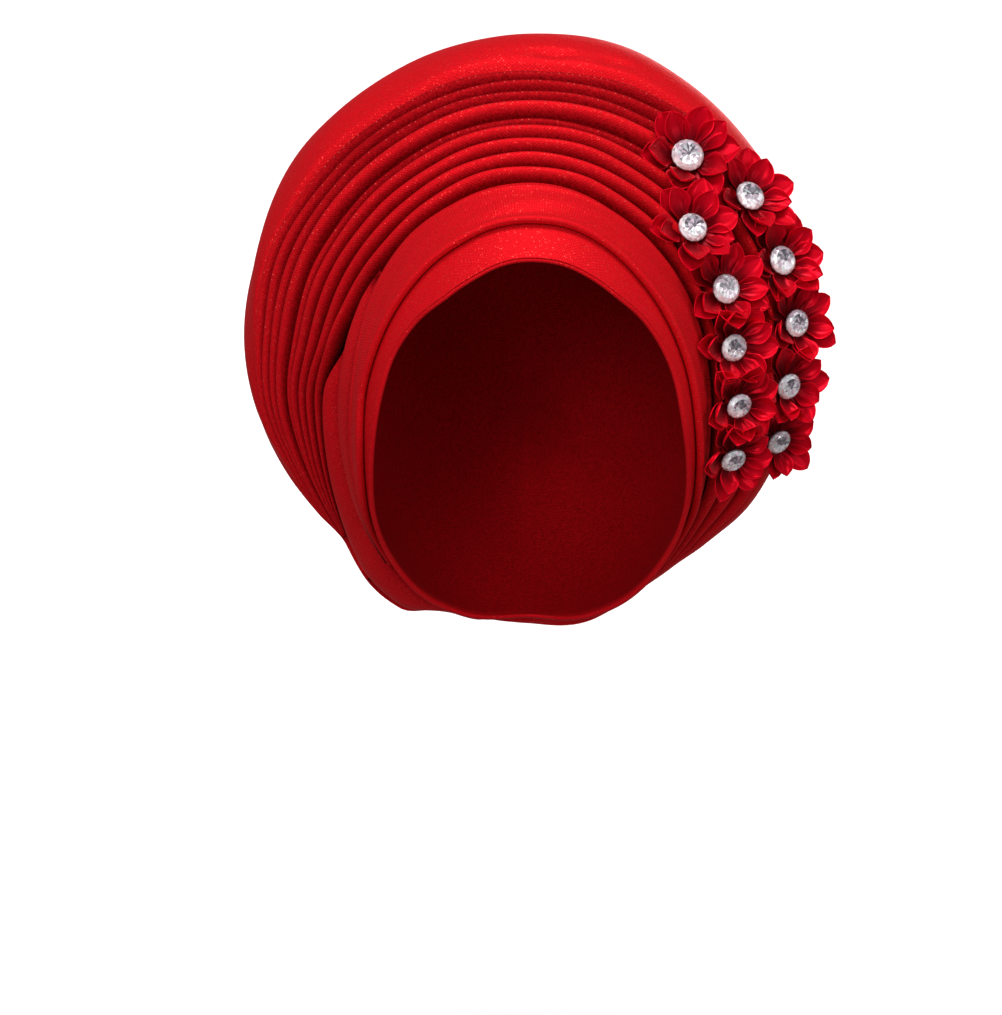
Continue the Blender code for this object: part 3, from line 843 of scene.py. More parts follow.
def tone_group() -> EffectGroup:
    """Build the tone effect: cloth painted with shade in its grooves and with light on its ridges, which
    varies in soft patches.

    Returns:
        The group, which puts out the cloth's colour and the patches on their own.
    """
    group = EffectGroup(
        "cloth tone",
        {
            "Place": None,
            "Ridge": 1.0,
            "Shaded": (0.10, 0.0, 0.003, 1.0),
            "Lit": (0.70, 0.01, 0.02, 1.0),
            "Patches": 28.0,
            "Strength": 0.12,
            "Grain": 0.0,
        },
        {"Color": "NodeSocketColor", "Wear": "NodeSocketFloat"},
    )
    plan, given = group.plan, group.given
    patch = plan.noise(given["Place"], given["Patches"], 3.0)
    swing = plan.math("MULTIPLY", plan.math("SUBTRACT", patch, 0.5), given["Strength"])
    speckle = plan.math("SUBTRACT", plan.noise(given["Place"], 950.0, 1.0), 0.5)
    swing = plan.math("MULTIPLY_ADD", speckle, given["Grain"], swing)
    # Painted shade and light: the ridge value mixes the deep colour, a painted shade, toward the lit one, a
    # painted light.
    share = plan.math("ADD", plan.ramp(given["Ridge"], 0.0, 1.0), swing)
    held = plan.math("MINIMUM", plan.math("MAXIMUM", share, 0.0), 1.0)
    plan.join(plan.mix(held, given["Shaded"], given["Lit"]), group.made["Color"])
    plan.join(patch, group.made["Wear"])
    return group


@dataclass(frozen=True)
class Effects:
    """The shader node groups that the finishes share."""

    threads: EffectGroup
    flakes: EffectGroup
    tone: EffectGroup


class Finish:
    """A new material, with its node plan, its shader and what it reads from a cloth's mesh."""

    def __init__(self, name: str) -> None:
        """Start a material.

        Args:
            name: The material's name.
        """
        self.material = bpy.data.materials.new(name)
        self.material.use_nodes = True
        self.plan = NodePlan(self.material.node_tree)
        self.shader = self.material.node_tree.nodes["Principled BSDF"]

    def read_cloth(self) -> tuple[Socket, Socket, Socket]:
        """Return the lay of the threads, the place on the cloth and the ridge value.

        Returns:
            The three outputs, in that order.
        """
        lay = self.plan.add("ShaderNodeUVMap", uv_map=WEAVE_MAP).outputs[0]
        place = self.plan.add("ShaderNodeTexCoord").outputs["Object"]
        ridge = self.plan.add("ShaderNodeAttribute", attribute_name=RIDGE).outputs["Fac"]
        return lay, place, ridge

    def raise_relief(self, height: Socket, strength: float, distance: float) -> None:
        """Give the surface a fine relief.

        Args:
            height: The output that holds its height.
            strength: How strong the relief is.
            distance: How deep it is in metres.
        """
        relief = self.plan.add("ShaderNodeBump")
        set_constants(relief, {"Strength": strength, "Distance": distance})
        self.plan.join(height, relief.inputs["Height"])
        self.plan.join(relief.outputs[0], self.shader.inputs["Normal"])


@dataclass(frozen=True)
class GlitterCloth:
    """The finish of a woven cloth with metallic threads and flakes."""

    name: str
    # The deep colour is a painted shade and the lit one a painted light; the ridge value mixes them.
    deep: Colour = (0.135, 0.0005, 0.002, 1.0)
    lit: Colour = (0.70, 0.007, 0.013, 1.0)
    dull_flake: Colour = (0.80, 0.01, 0.015, 1.0)
    bright_flake: Colour = (1.0, 0.08, 0.06, 1.0)
    shine: Colour = (1.0, 0.12, 0.10, 1.0)
    fuzz: Colour = (1.0, 0.08, 0.08, 1.0)
    weave: Weave = Weave.PLAIN
    spacing: float = 0.00080
    thread_depth: float = 0.00013
    relief: float = 0.6
    gap_depth: float = 0.36
    gap_roughness: float = 0.12
    flake_amount: float = 0.20
    flake_size: float = 0.0008
    flake_cover: float = 0.60
    flake_metal: float = 0.45
    flake_roughness: float = 0.34
    flake_tip: float = 2.2
    flake_ridges: tuple[float, float] = (0.45, 0.80)
    roughness: float = 0.50
    lustre: float = 0.25
    unevenness: float = 3.0
    sheen: float = 0.05
    grain: float = 0.75

    def make(self, effects: Effects) -> Material:
        """Make the material.

        Args:
            effects: The shared node groups.

        Returns:
            The finished material.
        """
        finish = Finish(self.name)
        plan, shader = finish.plan, finish.shader
        lay, place, ridge = finish.read_cloth()
        threads = effects.threads.use(plan, Lay=lay, Spacing=self.spacing, Slant=self.weave.value)
        flakes = effects.flakes.use(plan, Place=place, Size=self.flake_size, Amount=self.flake_amount)
        depths = {"Ridge": ridge, "Shaded": self.deep, "Lit": self.lit}
        tone = effects.tone.use(plan, Place=place, Grain=self.grain, **depths)
        gap_tone = plan.mix(self.gap_depth, tone["Color"], self.deep)
        woven = plan.mix(threads["Gaps"], tone["Color"], gap_tone)
        mask = plan.math("MULTIPLY", flakes["Mask"], plan.ramp(ridge, *self.flake_ridges))
        flake = plan.mix(flakes["Shade"], self.dull_flake, self.bright_flake)
        coloured = plan.mix(plan.math("MULTIPLY", mask, self.flake_cover), woven, flake)
        plan.join(coloured, shader.inputs["Base Color"])
        metal = plan.math("MULTIPLY_ADD", mask, self.flake_metal, self.lustre)
        plan.join(metal, shader.inputs["Metallic"])
        rough = plan.math("MULTIPLY_ADD", mask, self.flake_roughness - self.roughness, self.roughness)
        rough = plan.math("MULTIPLY_ADD", threads["Gaps"], self.gap_roughness, rough)
        plan.join(rough, shader.inputs["Roughness"])
        set_constants(shader, {
            "Specular Tint": self.shine,
            "Specular IOR Level": 0.06,
            "Sheen Weight": self.sheen,
            "Sheen Roughness": 0.4,
            "Sheen Tint": self.fuzz,
        })
        tipped = plan.math("MULTIPLY", plan.math("MULTIPLY", flakes["Tip"], mask), self.flake_tip)
        rumpled = plan.math("MULTIPLY", tone["Wear"], self.unevenness)
        height = plan.math("ADD", plan.math("ADD", threads["Height"], tipped), rumpled)
        finish.raise_relief(height, self.relief, self.thread_depth)
        return finish.material


@dataclass(frozen=True)
class SatinRibbon:
    """The finish of the flowers' satin ribbon."""

    name: str = "petal_satin"
    # The deep colour is a painted shade and the lit one a painted light; the ridge value mixes them.
    deep: Colour = (0.07, 0.0, 0.0015, 1.0)
    lit: Colour = (0.76, 0.002, 0.016, 1.0)
    shine: Colour = (1.0, 0.12, 0.16, 1.0)
    fuzz: Colour = (1.0, 0.10, 0.14, 1.0)
    weave: Weave = Weave.TWILL
    spacing: float = 0.0004
    wander: float = 0.02
    thread_depth: float = 0.00003
    relief: float = 0.25
    patches: float = 160.0
    patch_strength: float = 0.25
    roughness: float = 0.24
    worn_roughness: float = 0.16

    def make(self, effects: Effects) -> Material:
        """Make the material.

        Args:
            effects: The shared node groups.

        Returns:
            The finished material.
        """
        finish = Finish(self.name)
        plan, shader = finish.plan, finish.shader
        lay, place, ridge = finish.read_cloth()
        weave = {"Spacing": self.spacing, "Slant": self.weave.value, "Wander": self.wander}
        threads = effects.threads.use(plan, Lay=lay, **weave)
        depths = {"Ridge": ridge, "Shaded": self.deep, "Lit": self.lit}
        patches = {"Patches": self.patches, "Strength": self.patch_strength}
        tone = effects.tone.use(plan, Place=place, **depths, **patches)
        plan.join(tone["Color"], shader.inputs["Base Color"])
        rough = plan.math("MULTIPLY_ADD", tone["Wear"], self.worn_roughness, self.roughness)
        plan.join(rough, shader.inputs["Roughness"])
        set_constants(shader, {
            "Specular Tint": self.shine,
            "Specular IOR Level": 0.30,
            "Metallic": 0.30,
            "Sheen Weight": 0.15,
            "Sheen Roughness": 0.3,
            "Sheen Tint": self.fuzz,
            "Anisotropic": 0.4,
        })
        finish.raise_relief(threads["Height"], self.relief, self.thread_depth)
        return finish.material


@dataclass(frozen=True)
class FoiledStone:
    """The finish of a clear cut stone over bright foil, with a painted reflection that tints it facet by
    facet.
    """

    name: str = "stone_foil"
    tilt: float = 0.30
    dark_roughness: float = 0.26
    bright_roughness: float = 0.16
    # Painted reflections: each facet's value picks its brightness and tint from these.
    reflection_tints: tuple[tuple[float, Triple], ...] = (
        (0.00, (0.10, 0.09, 0.11)),
        (0.25, (0.32, 0.30, 0.35)),
        (0.42, (0.62, 0.44, 0.55)),
        (0.55, (0.50, 0.57, 0.57)),
        (0.70, (0.86, 0.84, 0.89)),
        (1.00, (0.97, 0.96, 0.99)),
    )

    def make(self) -> Material:
        """Make the material.

        Returns:
            The finished material.
        """
        finish = Finish(self.name)
        plan, shader = finish.plan, finish.shader
        facet = plan.add("ShaderNodeAttribute", attribute_name="facet").outputs["Fac"]
        scale = plan.add("ShaderNodeValToRGB")
        while len(scale.color_ramp.elements) < len(self.reflection_tints):
            scale.color_ramp.elements.new(0.5)
        for stop, (place, colour) in zip(scale.color_ramp.elements, self.reflection_tints):
            stop.position = place
            stop.color = (*colour, 1.0)
        plan.join(facet, scale.inputs[0])
        plan.join(scale.outputs[0], shader.inputs["Base Color"])
        change = self.bright_roughness - self.dark_roughness
        rough = plan.math("MULTIPLY_ADD", facet, change, self.dark_roughness)
        plan.join(rough, shader.inputs["Roughness"])
        tilt = plan.add("ShaderNodeAttribute", attribute_name="tilt").outputs["Vector"]
        normal = plan.add("ShaderNodeNewGeometry").outputs["Normal"]
        tipped = plan.vector("ADD", normal, plan.scaled(tilt, self.tilt))
        plan.join(plan.vector("NORMALIZE", tipped), shader.inputs["Normal"])
        set_constants(shader, {"Metallic": 0.10, "Coat Weight": 1.0, "Coat Roughness": 0.02})
        return finish.material


def report(piece: Piece) -> None:
    """Log a finished piece and its size."""
    size = [round(side * 1000, 1) for side in piece.dimensions]
    LOG.info("%s: %d faces, %s mm", piece.name, len(piece.data.polygons), size)


def bearings_along(start: float, end: float, step: float) -> Grid:
    """Return evenly spaced bearings along an arc, both ends included."""
    return np.linspace(start, end, round((end - start) / step) + 1)


@dataclass(frozen=True)
class Layer:
    """What every layer of cloth has: its node, its wall and how finely it is made."""

    node: str
    slot: str
    wall: float
    step: float = 1.25

    def finish(
        self,
        piece: Piece,
        flat: tuple[float, float],
        held: str,
        rests_on: list[str],
        area: float | None = None,
    ) -> Piece:
        """Tie a finished piece to the frame.

        Args:
            piece: The layer's mesh object.
            flat: The width and length that the cloth was cut to; not used.
            held: How the cloth is held; not used.
            rests_on: The nodes or pieces that it lies on; not used.
            area: The flat area where the cut isn't a rectangle; not used.

        Returns:
            The same piece.
        """
        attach(piece, "root")
        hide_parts(self.node)
        report(piece)
        return piece


@dataclass(frozen=True)
class FaceCap(Layer):
    """The close cap whose smooth front shows as the lower face band."""

    hem_radius: float = 0.0013
    hem_roll: float = 0.35
    hem_turn: float = 60.0
    groove_width: float = 0.0022
    groove_shade: float = 0.5
    outside_tone: float = 0.92
    # The inside is painted darker than the outside: a painted shade inside the head opening.
    shaded_inside_tone: float = 0.45
    thread_radius: float = 0.09
    face_points: int = 22
    back_points: int = 34
    lining_points: int = 30

    def section(self, bearing: Grid) -> Grid:
        """Make the cap's section: outside from the back to the hem, then inside to the back.

        Args:
            bearing: The bearings of the sections.

        Returns:
            Reach and depth of the points of each section.
        """
        edge = HEAD.face_depth("edge", bearing)
        fold = HEAD.face_depth("fold", bearing)
        back = np.full_like(bearing, HEAD.half_depth)
        column = bearing[:, None]
        front = HEAD.spread(edge, fold, np.linspace(0.0, 1.0, self.face_points))
        rear = HEAD.spread(fold, back, np.linspace(0.0, 1.0, self.back_points) ** 1.2)[:, 1:]
        depths = np.concatenate((front, rear), axis=1)
        roll = self.hem_roll * self.hem_radius * np.exp(-(np.arange(depths.shape[1]) / 2.2) ** 2)
        outer = HEAD.off(column, depths, np.broadcast_to(self.wall + roll, depths.shape))
        seat = HEAD.off(bearing, edge, np.full_like(edge, self.wall / 2))
        turns = np.radians(np.linspace(self.hem_turn, -self.hem_turn, 5))
        round_hem = np.stack((np.sin(turns) * self.wall / 2, -np.cos(turns) * self.hem_radius), axis=-1)
        hem = seat[:, None] + round_hem[None, :]
        inner_depths = HEAD.spread(edge, back, np.linspace(0.0, 1.0, self.lining_points))
        inner = HEAD.off(column, inner_depths, np.zeros_like(inner_depths))
        outer[:, -1] = (0.0, HEAD.half_depth + self.wall)
        inner[:, -1] = (0.0, HEAD.half_depth)
        return np.concatenate((outer[:, ::-1], hem, inner), axis=1)

    def build(self, material: Material) -> Piece:
        """Build the cap.

        Args:
            material: The cloth's finish.

        Returns:
            The cap's mesh object.
        """
        bearing = bearings_along(0.0, FULL_TURN, self.step)
        section = self.section(bearing)
        points = HEAD.place(bearing[:, None], section)
        inside = np.arange(points.shape[1]) > points.shape[1] - self.lining_points
        # Painted shade: the lining inside the cap is painted darker than its outside.
        tones = np.where(inside, self.shaded_inside_tone, self.outside_tone)
        ridge = np.tile(tones, (len(points), 1))
        fold = HEAD.face_depth("fold", bearing)[:, None]
        ridge -= self.groove_shade * hump(section[..., 1], fold, self.groove_width) * ~inside
        lay = cloth_lay(np.radians(bearing)[:, None] * self.thread_radius, points)
        piece = ClothGrid(points, ridge, lay).build("face_cap", material)
        close_ends(piece)
        return self.finish(piece, (0.34, 0.34), "stretched", [], 0.088)


@dataclass(frozen=True)
class FoldBand(Layer):
    """The wide band folded over the cap, with a soft rounded lip."""

    arc: tuple[float, float] = (-50.0, 230.0)
    tucks: tuple[float, float] = (20.0, 20.0)
    narrowing: float = 0.42
    gap: float = 0.0026
    lip: float = 0.0015
    crest: float = 0.0009
    sag: float = 0.0004
    nose_turns: tuple[float, float] = (150.0, 30.0)
    tone: float = 0.88
    # The band's top edge and its lip are painted lighter than its body: a painted highlight.
    edge_highlight: float = 1.0
    edge_points: int = 3
    body_points: int = 22

    def section(self, bearing: Grid) -> Grid:
        """Make the band's closed section: outside, the round nose of the lip, then underside.

        Args:
            bearing: The bearings of the sections.

        Returns:
            Reach and depth of the points of each section.
        """
        column = bearing[:, None]
        fold = HEAD.face_depth("fold", bearing)
        top = HEAD.face_depth("band_top", bearing)
        shares = np.linspace(0.0, 1.0, self.body_points)
        ends = tucked_ends(self.arc, self.tucks, bearing)
        narrowed = (1 - ends) * self.narrowing
        fold, top = fold + (top - fold) * narrowed, top + (fold - top) * narrowed
        depths = HEAD.spread(fold, top, shares)
        run = np.arange(self.body_points)
        lip = self.lip * eased(0.55, ends)[:, None] * np.exp(-(run / 1.8) ** 2)
        crest = self.crest * np.exp(-((self.body_points - 1 - run) / 1.3) ** 2)
        sag = self.sag * ripple(5, 4, 1.0, 3.0, column / 120 + shares * 0.6)
        wall = self.wall * eased(0.35, ends)[:, None]
        lift = self.gap + wall + lip + crest + sag * np.sin(math.pi * shares)
        outer = HEAD.off(column, depths, lift)
        under = HEAD.off(column, depths, np.full_like(depths, self.gap))
        middle = (outer[:, 0] + under[:, 0]) / 2
        half = np.linalg.norm(outer[:, 0] - under[:, 0], axis=-1) / 2
        turns = np.radians(np.linspace(*self.nose_turns, 5))
        away = HEAD.off(bearing, fold, np.ones_like(fold)) - HEAD.off(bearing, fold, np.zeros_like(fold))
        front = np.stack((away[:, 1], -away[:, 0]), axis=-1)
        rounds = [away * math.cos(turn) + front * math.sin(turn) for turn in turns]
        nose = np.stack([middle + way * half[:, None] for way in rounds], axis=1)
        return np.concatenate((outer[:, ::-1], nose[:, ::-1], under), axis=1)

    def build(self, material: Material) -> Piece:
        """Build the band.

        Args:
            material: The cloth's finish.

        Returns:
            The band's mesh object.
        """
        bearing = bearings_along(*self.arc, self.step)
        points = HEAD.place(bearing[:, None], self.section(bearing))
        ridge = np.full(points.shape[:2], self.tone)
        # Painted highlight along the band's top edge and round its lip.
        ridge[:, :self.edge_points] = self.edge_highlight
        ridge[:, self.body_points - self.edge_points:self.body_points + self.edge_points] = self.edge_highlight
        middle_line = arc_lengths(points, 0)[:, self.body_points // 2][:, None]
        lay = cloth_lay(middle_line, points)
        piece = ClothGrid(points, ridge, lay, closed=True).build("fold_band_cloth", material)
        close_ends(piece)
        return self.finish(piece, (0.026, 0.36), "folded", ["face_cap"])


@dataclass(frozen=True)
class RaisedStrip(Layer):
    """A strip of cloth that stands off the cap along one side."""

    piece_name: str = "side_strip_cloth"
    arc: tuple[float, float] = (140.0, 229.0)
    tucks: tuple[float, float] = (10.0, 18.0)
    swell: float = 0.0014
    seam: float = 0.0008
    lowest: float = 0.0031
    across: int = 16
    flat: tuple[float, float] = (0.018, 0.125)

    def edges(self, bearing: Grid) -> tuple[tuple[Grid, Grid], tuple[Grid, Grid]]:
        """Return the depths and lifts of the strip's two edges.

        Args:
            bearing: The bearings of the sections.

        Returns:
            The depths of the front and rear edge, then their lifts off the head form.
        """
        lift = HEAD.face.read("strip_lift", bearing) * HEAD.crown_rise
        depths = (HEAD.face_depth("band_top", bearing) + self.seam, HEAD.face_depth("strip_top", bearing))
        return depths, (np.zeros_like(lift), lift)

    def section(self, bearing: Grid, ends: Grid) -> Grid:
        """Make the closed section, which rises off the cap and swells at its middle.

        Args:
            bearing: The bearings of the sections.
            ends: How full the strip is, from 0 where its ends are tucked away to 1.

        Returns:
            Reach and depth of the points round each section.
        """
        depths, lifts = self.edges(bearing)
        shares = np.linspace(0.0, 1.0, self.across)[None, :]
        sunk = eased(0.25, ends)
        start = np.maximum(self.lowest, (lifts[0] - self.wall) * sunk)[:, None]
        end = np.maximum(self.lowest, (lifts[1] - self.wall) * sunk)[:, None]
        squeezed = 0.5 + (shares - 0.5) * eased(0.35, ends)[:, None]
        depth = depths[0][:, None] * (1 - squeezed) + depths[1][:, None] * squeezed
        rise = start * (1 - shares) + end * shares
        arch = np.sin(math.pi * shares)
        thick = self.wall * eased(0.25, arch ** 0.45)
        fullness = self.swell * eased(0.2, ends)[:, None]
        outer = HEAD.beyond(bearing[:, None], depth, rise + thick + fullness * arch)
        inner = HEAD.beyond(bearing[:, None], depth, rise)
        return np.concatenate((inner, outer[:, ::-1]), axis=1)

    def build(self, material: Material) -> Piece:
        """Build the strip.

        Args:
            material: The cloth's finish.

        Returns:
            The strip's mesh object.
        """
        bearing = bearings_along(*self.arc, self.step)
        ends = tucked_ends(self.arc, self.tucks, bearing)
        points = HEAD.place(bearing[:, None], self.section(bearing, ends))
        # Painted shade and light: the strip is painted lighter along the top of its swell, darker at its
        # edges against the cap and on its underside, and darker still toward its tucked ends.
        sweep = np.sin(math.pi * np.linspace(0.0, 1.0, self.across)) ** 0.4
        ridge = np.concatenate((0.3 * sweep, 0.25 + 0.7 * sweep)) * eased(0.15, ends)[:, None]
        middle_line = arc_lengths(points, 0)[:, -self.across // 2][:, None]
        lay = cloth_lay(middle_line, points)
        piece = ClothGrid(points, ridge, lay, closed=True).build(self.piece_name, material)
        close_ends(piece)
        return self.finish(piece, self.flat, "folded", ["face_cap"])


@dataclass(frozen=True)
class TailStrip(RaisedStrip):
    """The smooth tail that leaves the tuck and runs down to the nape."""

    piece_name: str = "tail_cloth"
    arc: tuple[float, float] = (157.0, 266.0)
    tucks: tuple[float, float] = (20.0, 10.0)
    swell: float = 0.0022
    flat: tuple[float, float] = (0.022, 0.145)

    def edges(self, bearing: Grid) -> tuple[tuple[Grid, Grid], tuple[Grid, Grid]]:
        """Return the depths and lifts of the tail's two edges.

        Args:
            bearing: The bearings of the sections.

        Returns:
            The depths of the front and rear edge, then their lifts off the head form.
        """
        front = HEAD.face.read("strip_lift", bearing) * HEAD.crown_rise
        rear = HEAD.crown.read("base_lift", bearing) * HEAD.crown_rise
        start = HEAD.face_depth("strip_top", bearing) + self.seam
        end = HEAD.crown_point("base", bearing)[:, 1] - 2 * self.seam
        return (start, end), (front, rear)


@dataclass(frozen=True)
class PleatedFan(Layer):
    """The tall fan of nine rounded pleats that frames the face."""

    arc: tuple[float, float] = (-56.0, 216.0)
    points_each: int = 16
    bow: float = 0.035
    fullness: float = 0.48
    groove_depth: float = 0.26
    roundness: float = 0.76
    lean: float = 0.04
    swing: float = 0.12
    curl: float = 0.75
    curl_bearing: float = 164.0
    curl_spread: float = 10.0
    curl_fall: float = 0.45
    curl_fall_arc: tuple[float, float] = (171.0, 186.0)
    # The tone that the folds' painted shade eases to on the side, and the bearings over which it does.
    side_painted_tone: float = 0.92
    side_arc: tuple[float, float] = (118.0, 165.0)
    gather_count: int = 3
    gather_arc: tuple[float, float] = (-12.0, -24.0)
    gather_height: float = 1.45
    gather_depth: float = 0.40
    # How light the broad folds' ridges are painted; their grooves are painted shade.
    gather_tone: float = 0.9

    def line(self, bearing: Grid, shares: Grid) -> Grid:
        """Return the fan's groove line.

        Args:
            bearing: The bearings of the sections.
            shares: How far outward each point of a section lies, from 0 to 1.

        Returns:
            Reach and depth of the line at each share of each section.
        """
        base = HEAD.crown_point("base", bearing)[:, None, :]
        groove = HEAD.crown_point("groove", bearing)[:, None, :]
        span = groove - base
        outward = np.stack((span[..., 1], -span[..., 0]), axis=-1)
        share = shares[..., None]
        return base + span * share + outward * self.bow * np.sin(math.pi * share)

    def pleat_places(self) -> Grid:
        """Return the shares of the fan's line at which its grooves lie."""
        widths = np.array([row["width"] for row in PLEATS])
        return np.concatenate(([0.0], np.cumsum(widths) / widths.sum()))

    def relief(self, bearing: Grid, place: Grid) -> tuple[Grid, Grid]:
        """Return the pleats' relief in shares of an even pleat, and how near the ridge a point is, which
        sets the folds' painted shade.

        Args:
            bearing: The bearings of the sections.
            place: The shares of the fan's line, with points_each in each pleat.

        Returns:
            The height at each point, and a value from 0 in the grooves to 1 on the ridges: painted shade in
            the grooves, painted light on the ridges.
        """
        each = self.points_each
        inside = np.linspace(0.0, 1.0, each, endpoint=False)
        height = np.zeros((len(bearing), place.shape[1]))
        ridge = np.zeros_like(height)
        for number, row in enumerate(PLEATS):
            lean = self.lean * ripple(11 + number, 4, 0.5, 2.2, bearing / 60)
            share = np.clip(inside[None, :] ** (1 + lean[:, None]), 0.0, 1.0)
            arch = np.sin(math.pi * share) ** self.roundness
            swing = 1 + self.swing * ripple(31 + number, 5, 0.6, 3.0, bearing / 60)[:, None]
            if number == 0:
                curl = self.curl * hump(bearing, self.curl_bearing, self.curl_spread)
                curl = curl - self.curl_fall * smooth_step(*self.curl_fall_arc, bearing)
                swing = swing + curl[:, None]
            columns = slice(number * each, (number + 1) * each)
            height[:, columns] = arch * self.fullness * row["fullness"] * swing + row["proud"] * arch
            height[:, columns] -= self.groove_depth * (1 - arch)
            # Painted shade: each fold is painted darker toward its grooves and by its tone, and on the side
            # every fold takes the side's painted tone.
            sideward = smooth_step(*self.side_arc, bearing)[:, None]
            tone = row["tone"] + (self.side_painted_tone - row["tone"]) * sideward
            ridge[:, columns] = np.sin(math.pi * share) ** 1.1 * tone
        height[:, -1] = -self.groove_depth
        return height, ridge

    def gathers(self, bearing: Grid, place: Grid) -> tuple[Grid, Grid]:
        """Return the relief of the few broad folds that the pleats run into at the lower side.

        Args:
            bearing: The bearings of the sections.
            place: The shares of the fan's line.

        Returns:
            The height at each point in shares of an even pleat, and how near the ridge it is, which paints
            shade in the broad folds' grooves.
        """
        wave = place * self.gather_count + 0.12 * ripple(71, 3, 0.5, 1.2, bearing / 40)[:, None]
        arch = np.abs(np.sin(math.pi * wave)) ** 0.7
        # Painted shade in the grooves of the broad folds and painted light on their crests.
        return arch * self.gather_height - self.gather_depth, arch * self.gather_tone

    def surface(self) -> tuple[Grid, Grid, Grid, Grid]:
        """Work out the fan's pleated surface.

        Returns:
            Its points, ridge values, the lay of its threads and its bearings.
        """
        bearing = bearings_along(*self.arc, self.step)
        stops = self.pleat_places()
        inside = np.linspace(0.0, 1.0, self.points_each, endpoint=False)
        pleats = [start + (end - start) * inside for start, end in zip(stops, stops[1:])]
        place = np.concatenate(pleats + [[1.0]])
        place = np.broadcast_to(place, (len(bearing), len(place)))
        line = self.line(bearing, place)
        length = np.linalg.norm(line[:, -1] - line[:, 0], axis=-1)[:, None]
        pitch = length / len(PLEATS)
        fine, fine_ridge = self.relief(bearing, place)
        broad, broad_ridge = self.gathers(bearing, place)
        gathered = smooth_step(*self.gather_arc, bearing)[:, None]
        height = fine * (1 - gathered) + broad * gathered
        ridge = fine_ridge * (1 - gathered) + broad_ridge * gathered
        section = line + side_of(line) * (height * pitch)[..., None]
        points = HEAD.place(bearing[:, None], section)
        centre = (np.arange(len(PLEATS)) + 0.5) * self.points_each
        owner = np.minimum(np.arange(place.shape[1]) // self.points_each, len(PLEATS) - 1)
        along = arc_lengths(points, 0)[:, centre.astype(int)][:, owner]
        return points, ridge, cloth_lay(along, points), bearing

    def build(self, material: Material) -> Piece:
        """Build the fan.

        Args:
            material: The cloth's finish.

        Returns:
            The fan's mesh object.
        """
        points, ridge, lay, _ = self.surface()
        piece = ClothGrid(points, ridge, lay).build("pleated_fan_cloth", material, self.wall)
        face_outward(piece)
        return self.finish(piece, (0.115, 0.52), "gathered", ["face_cap", "crown_drape_cloth"])


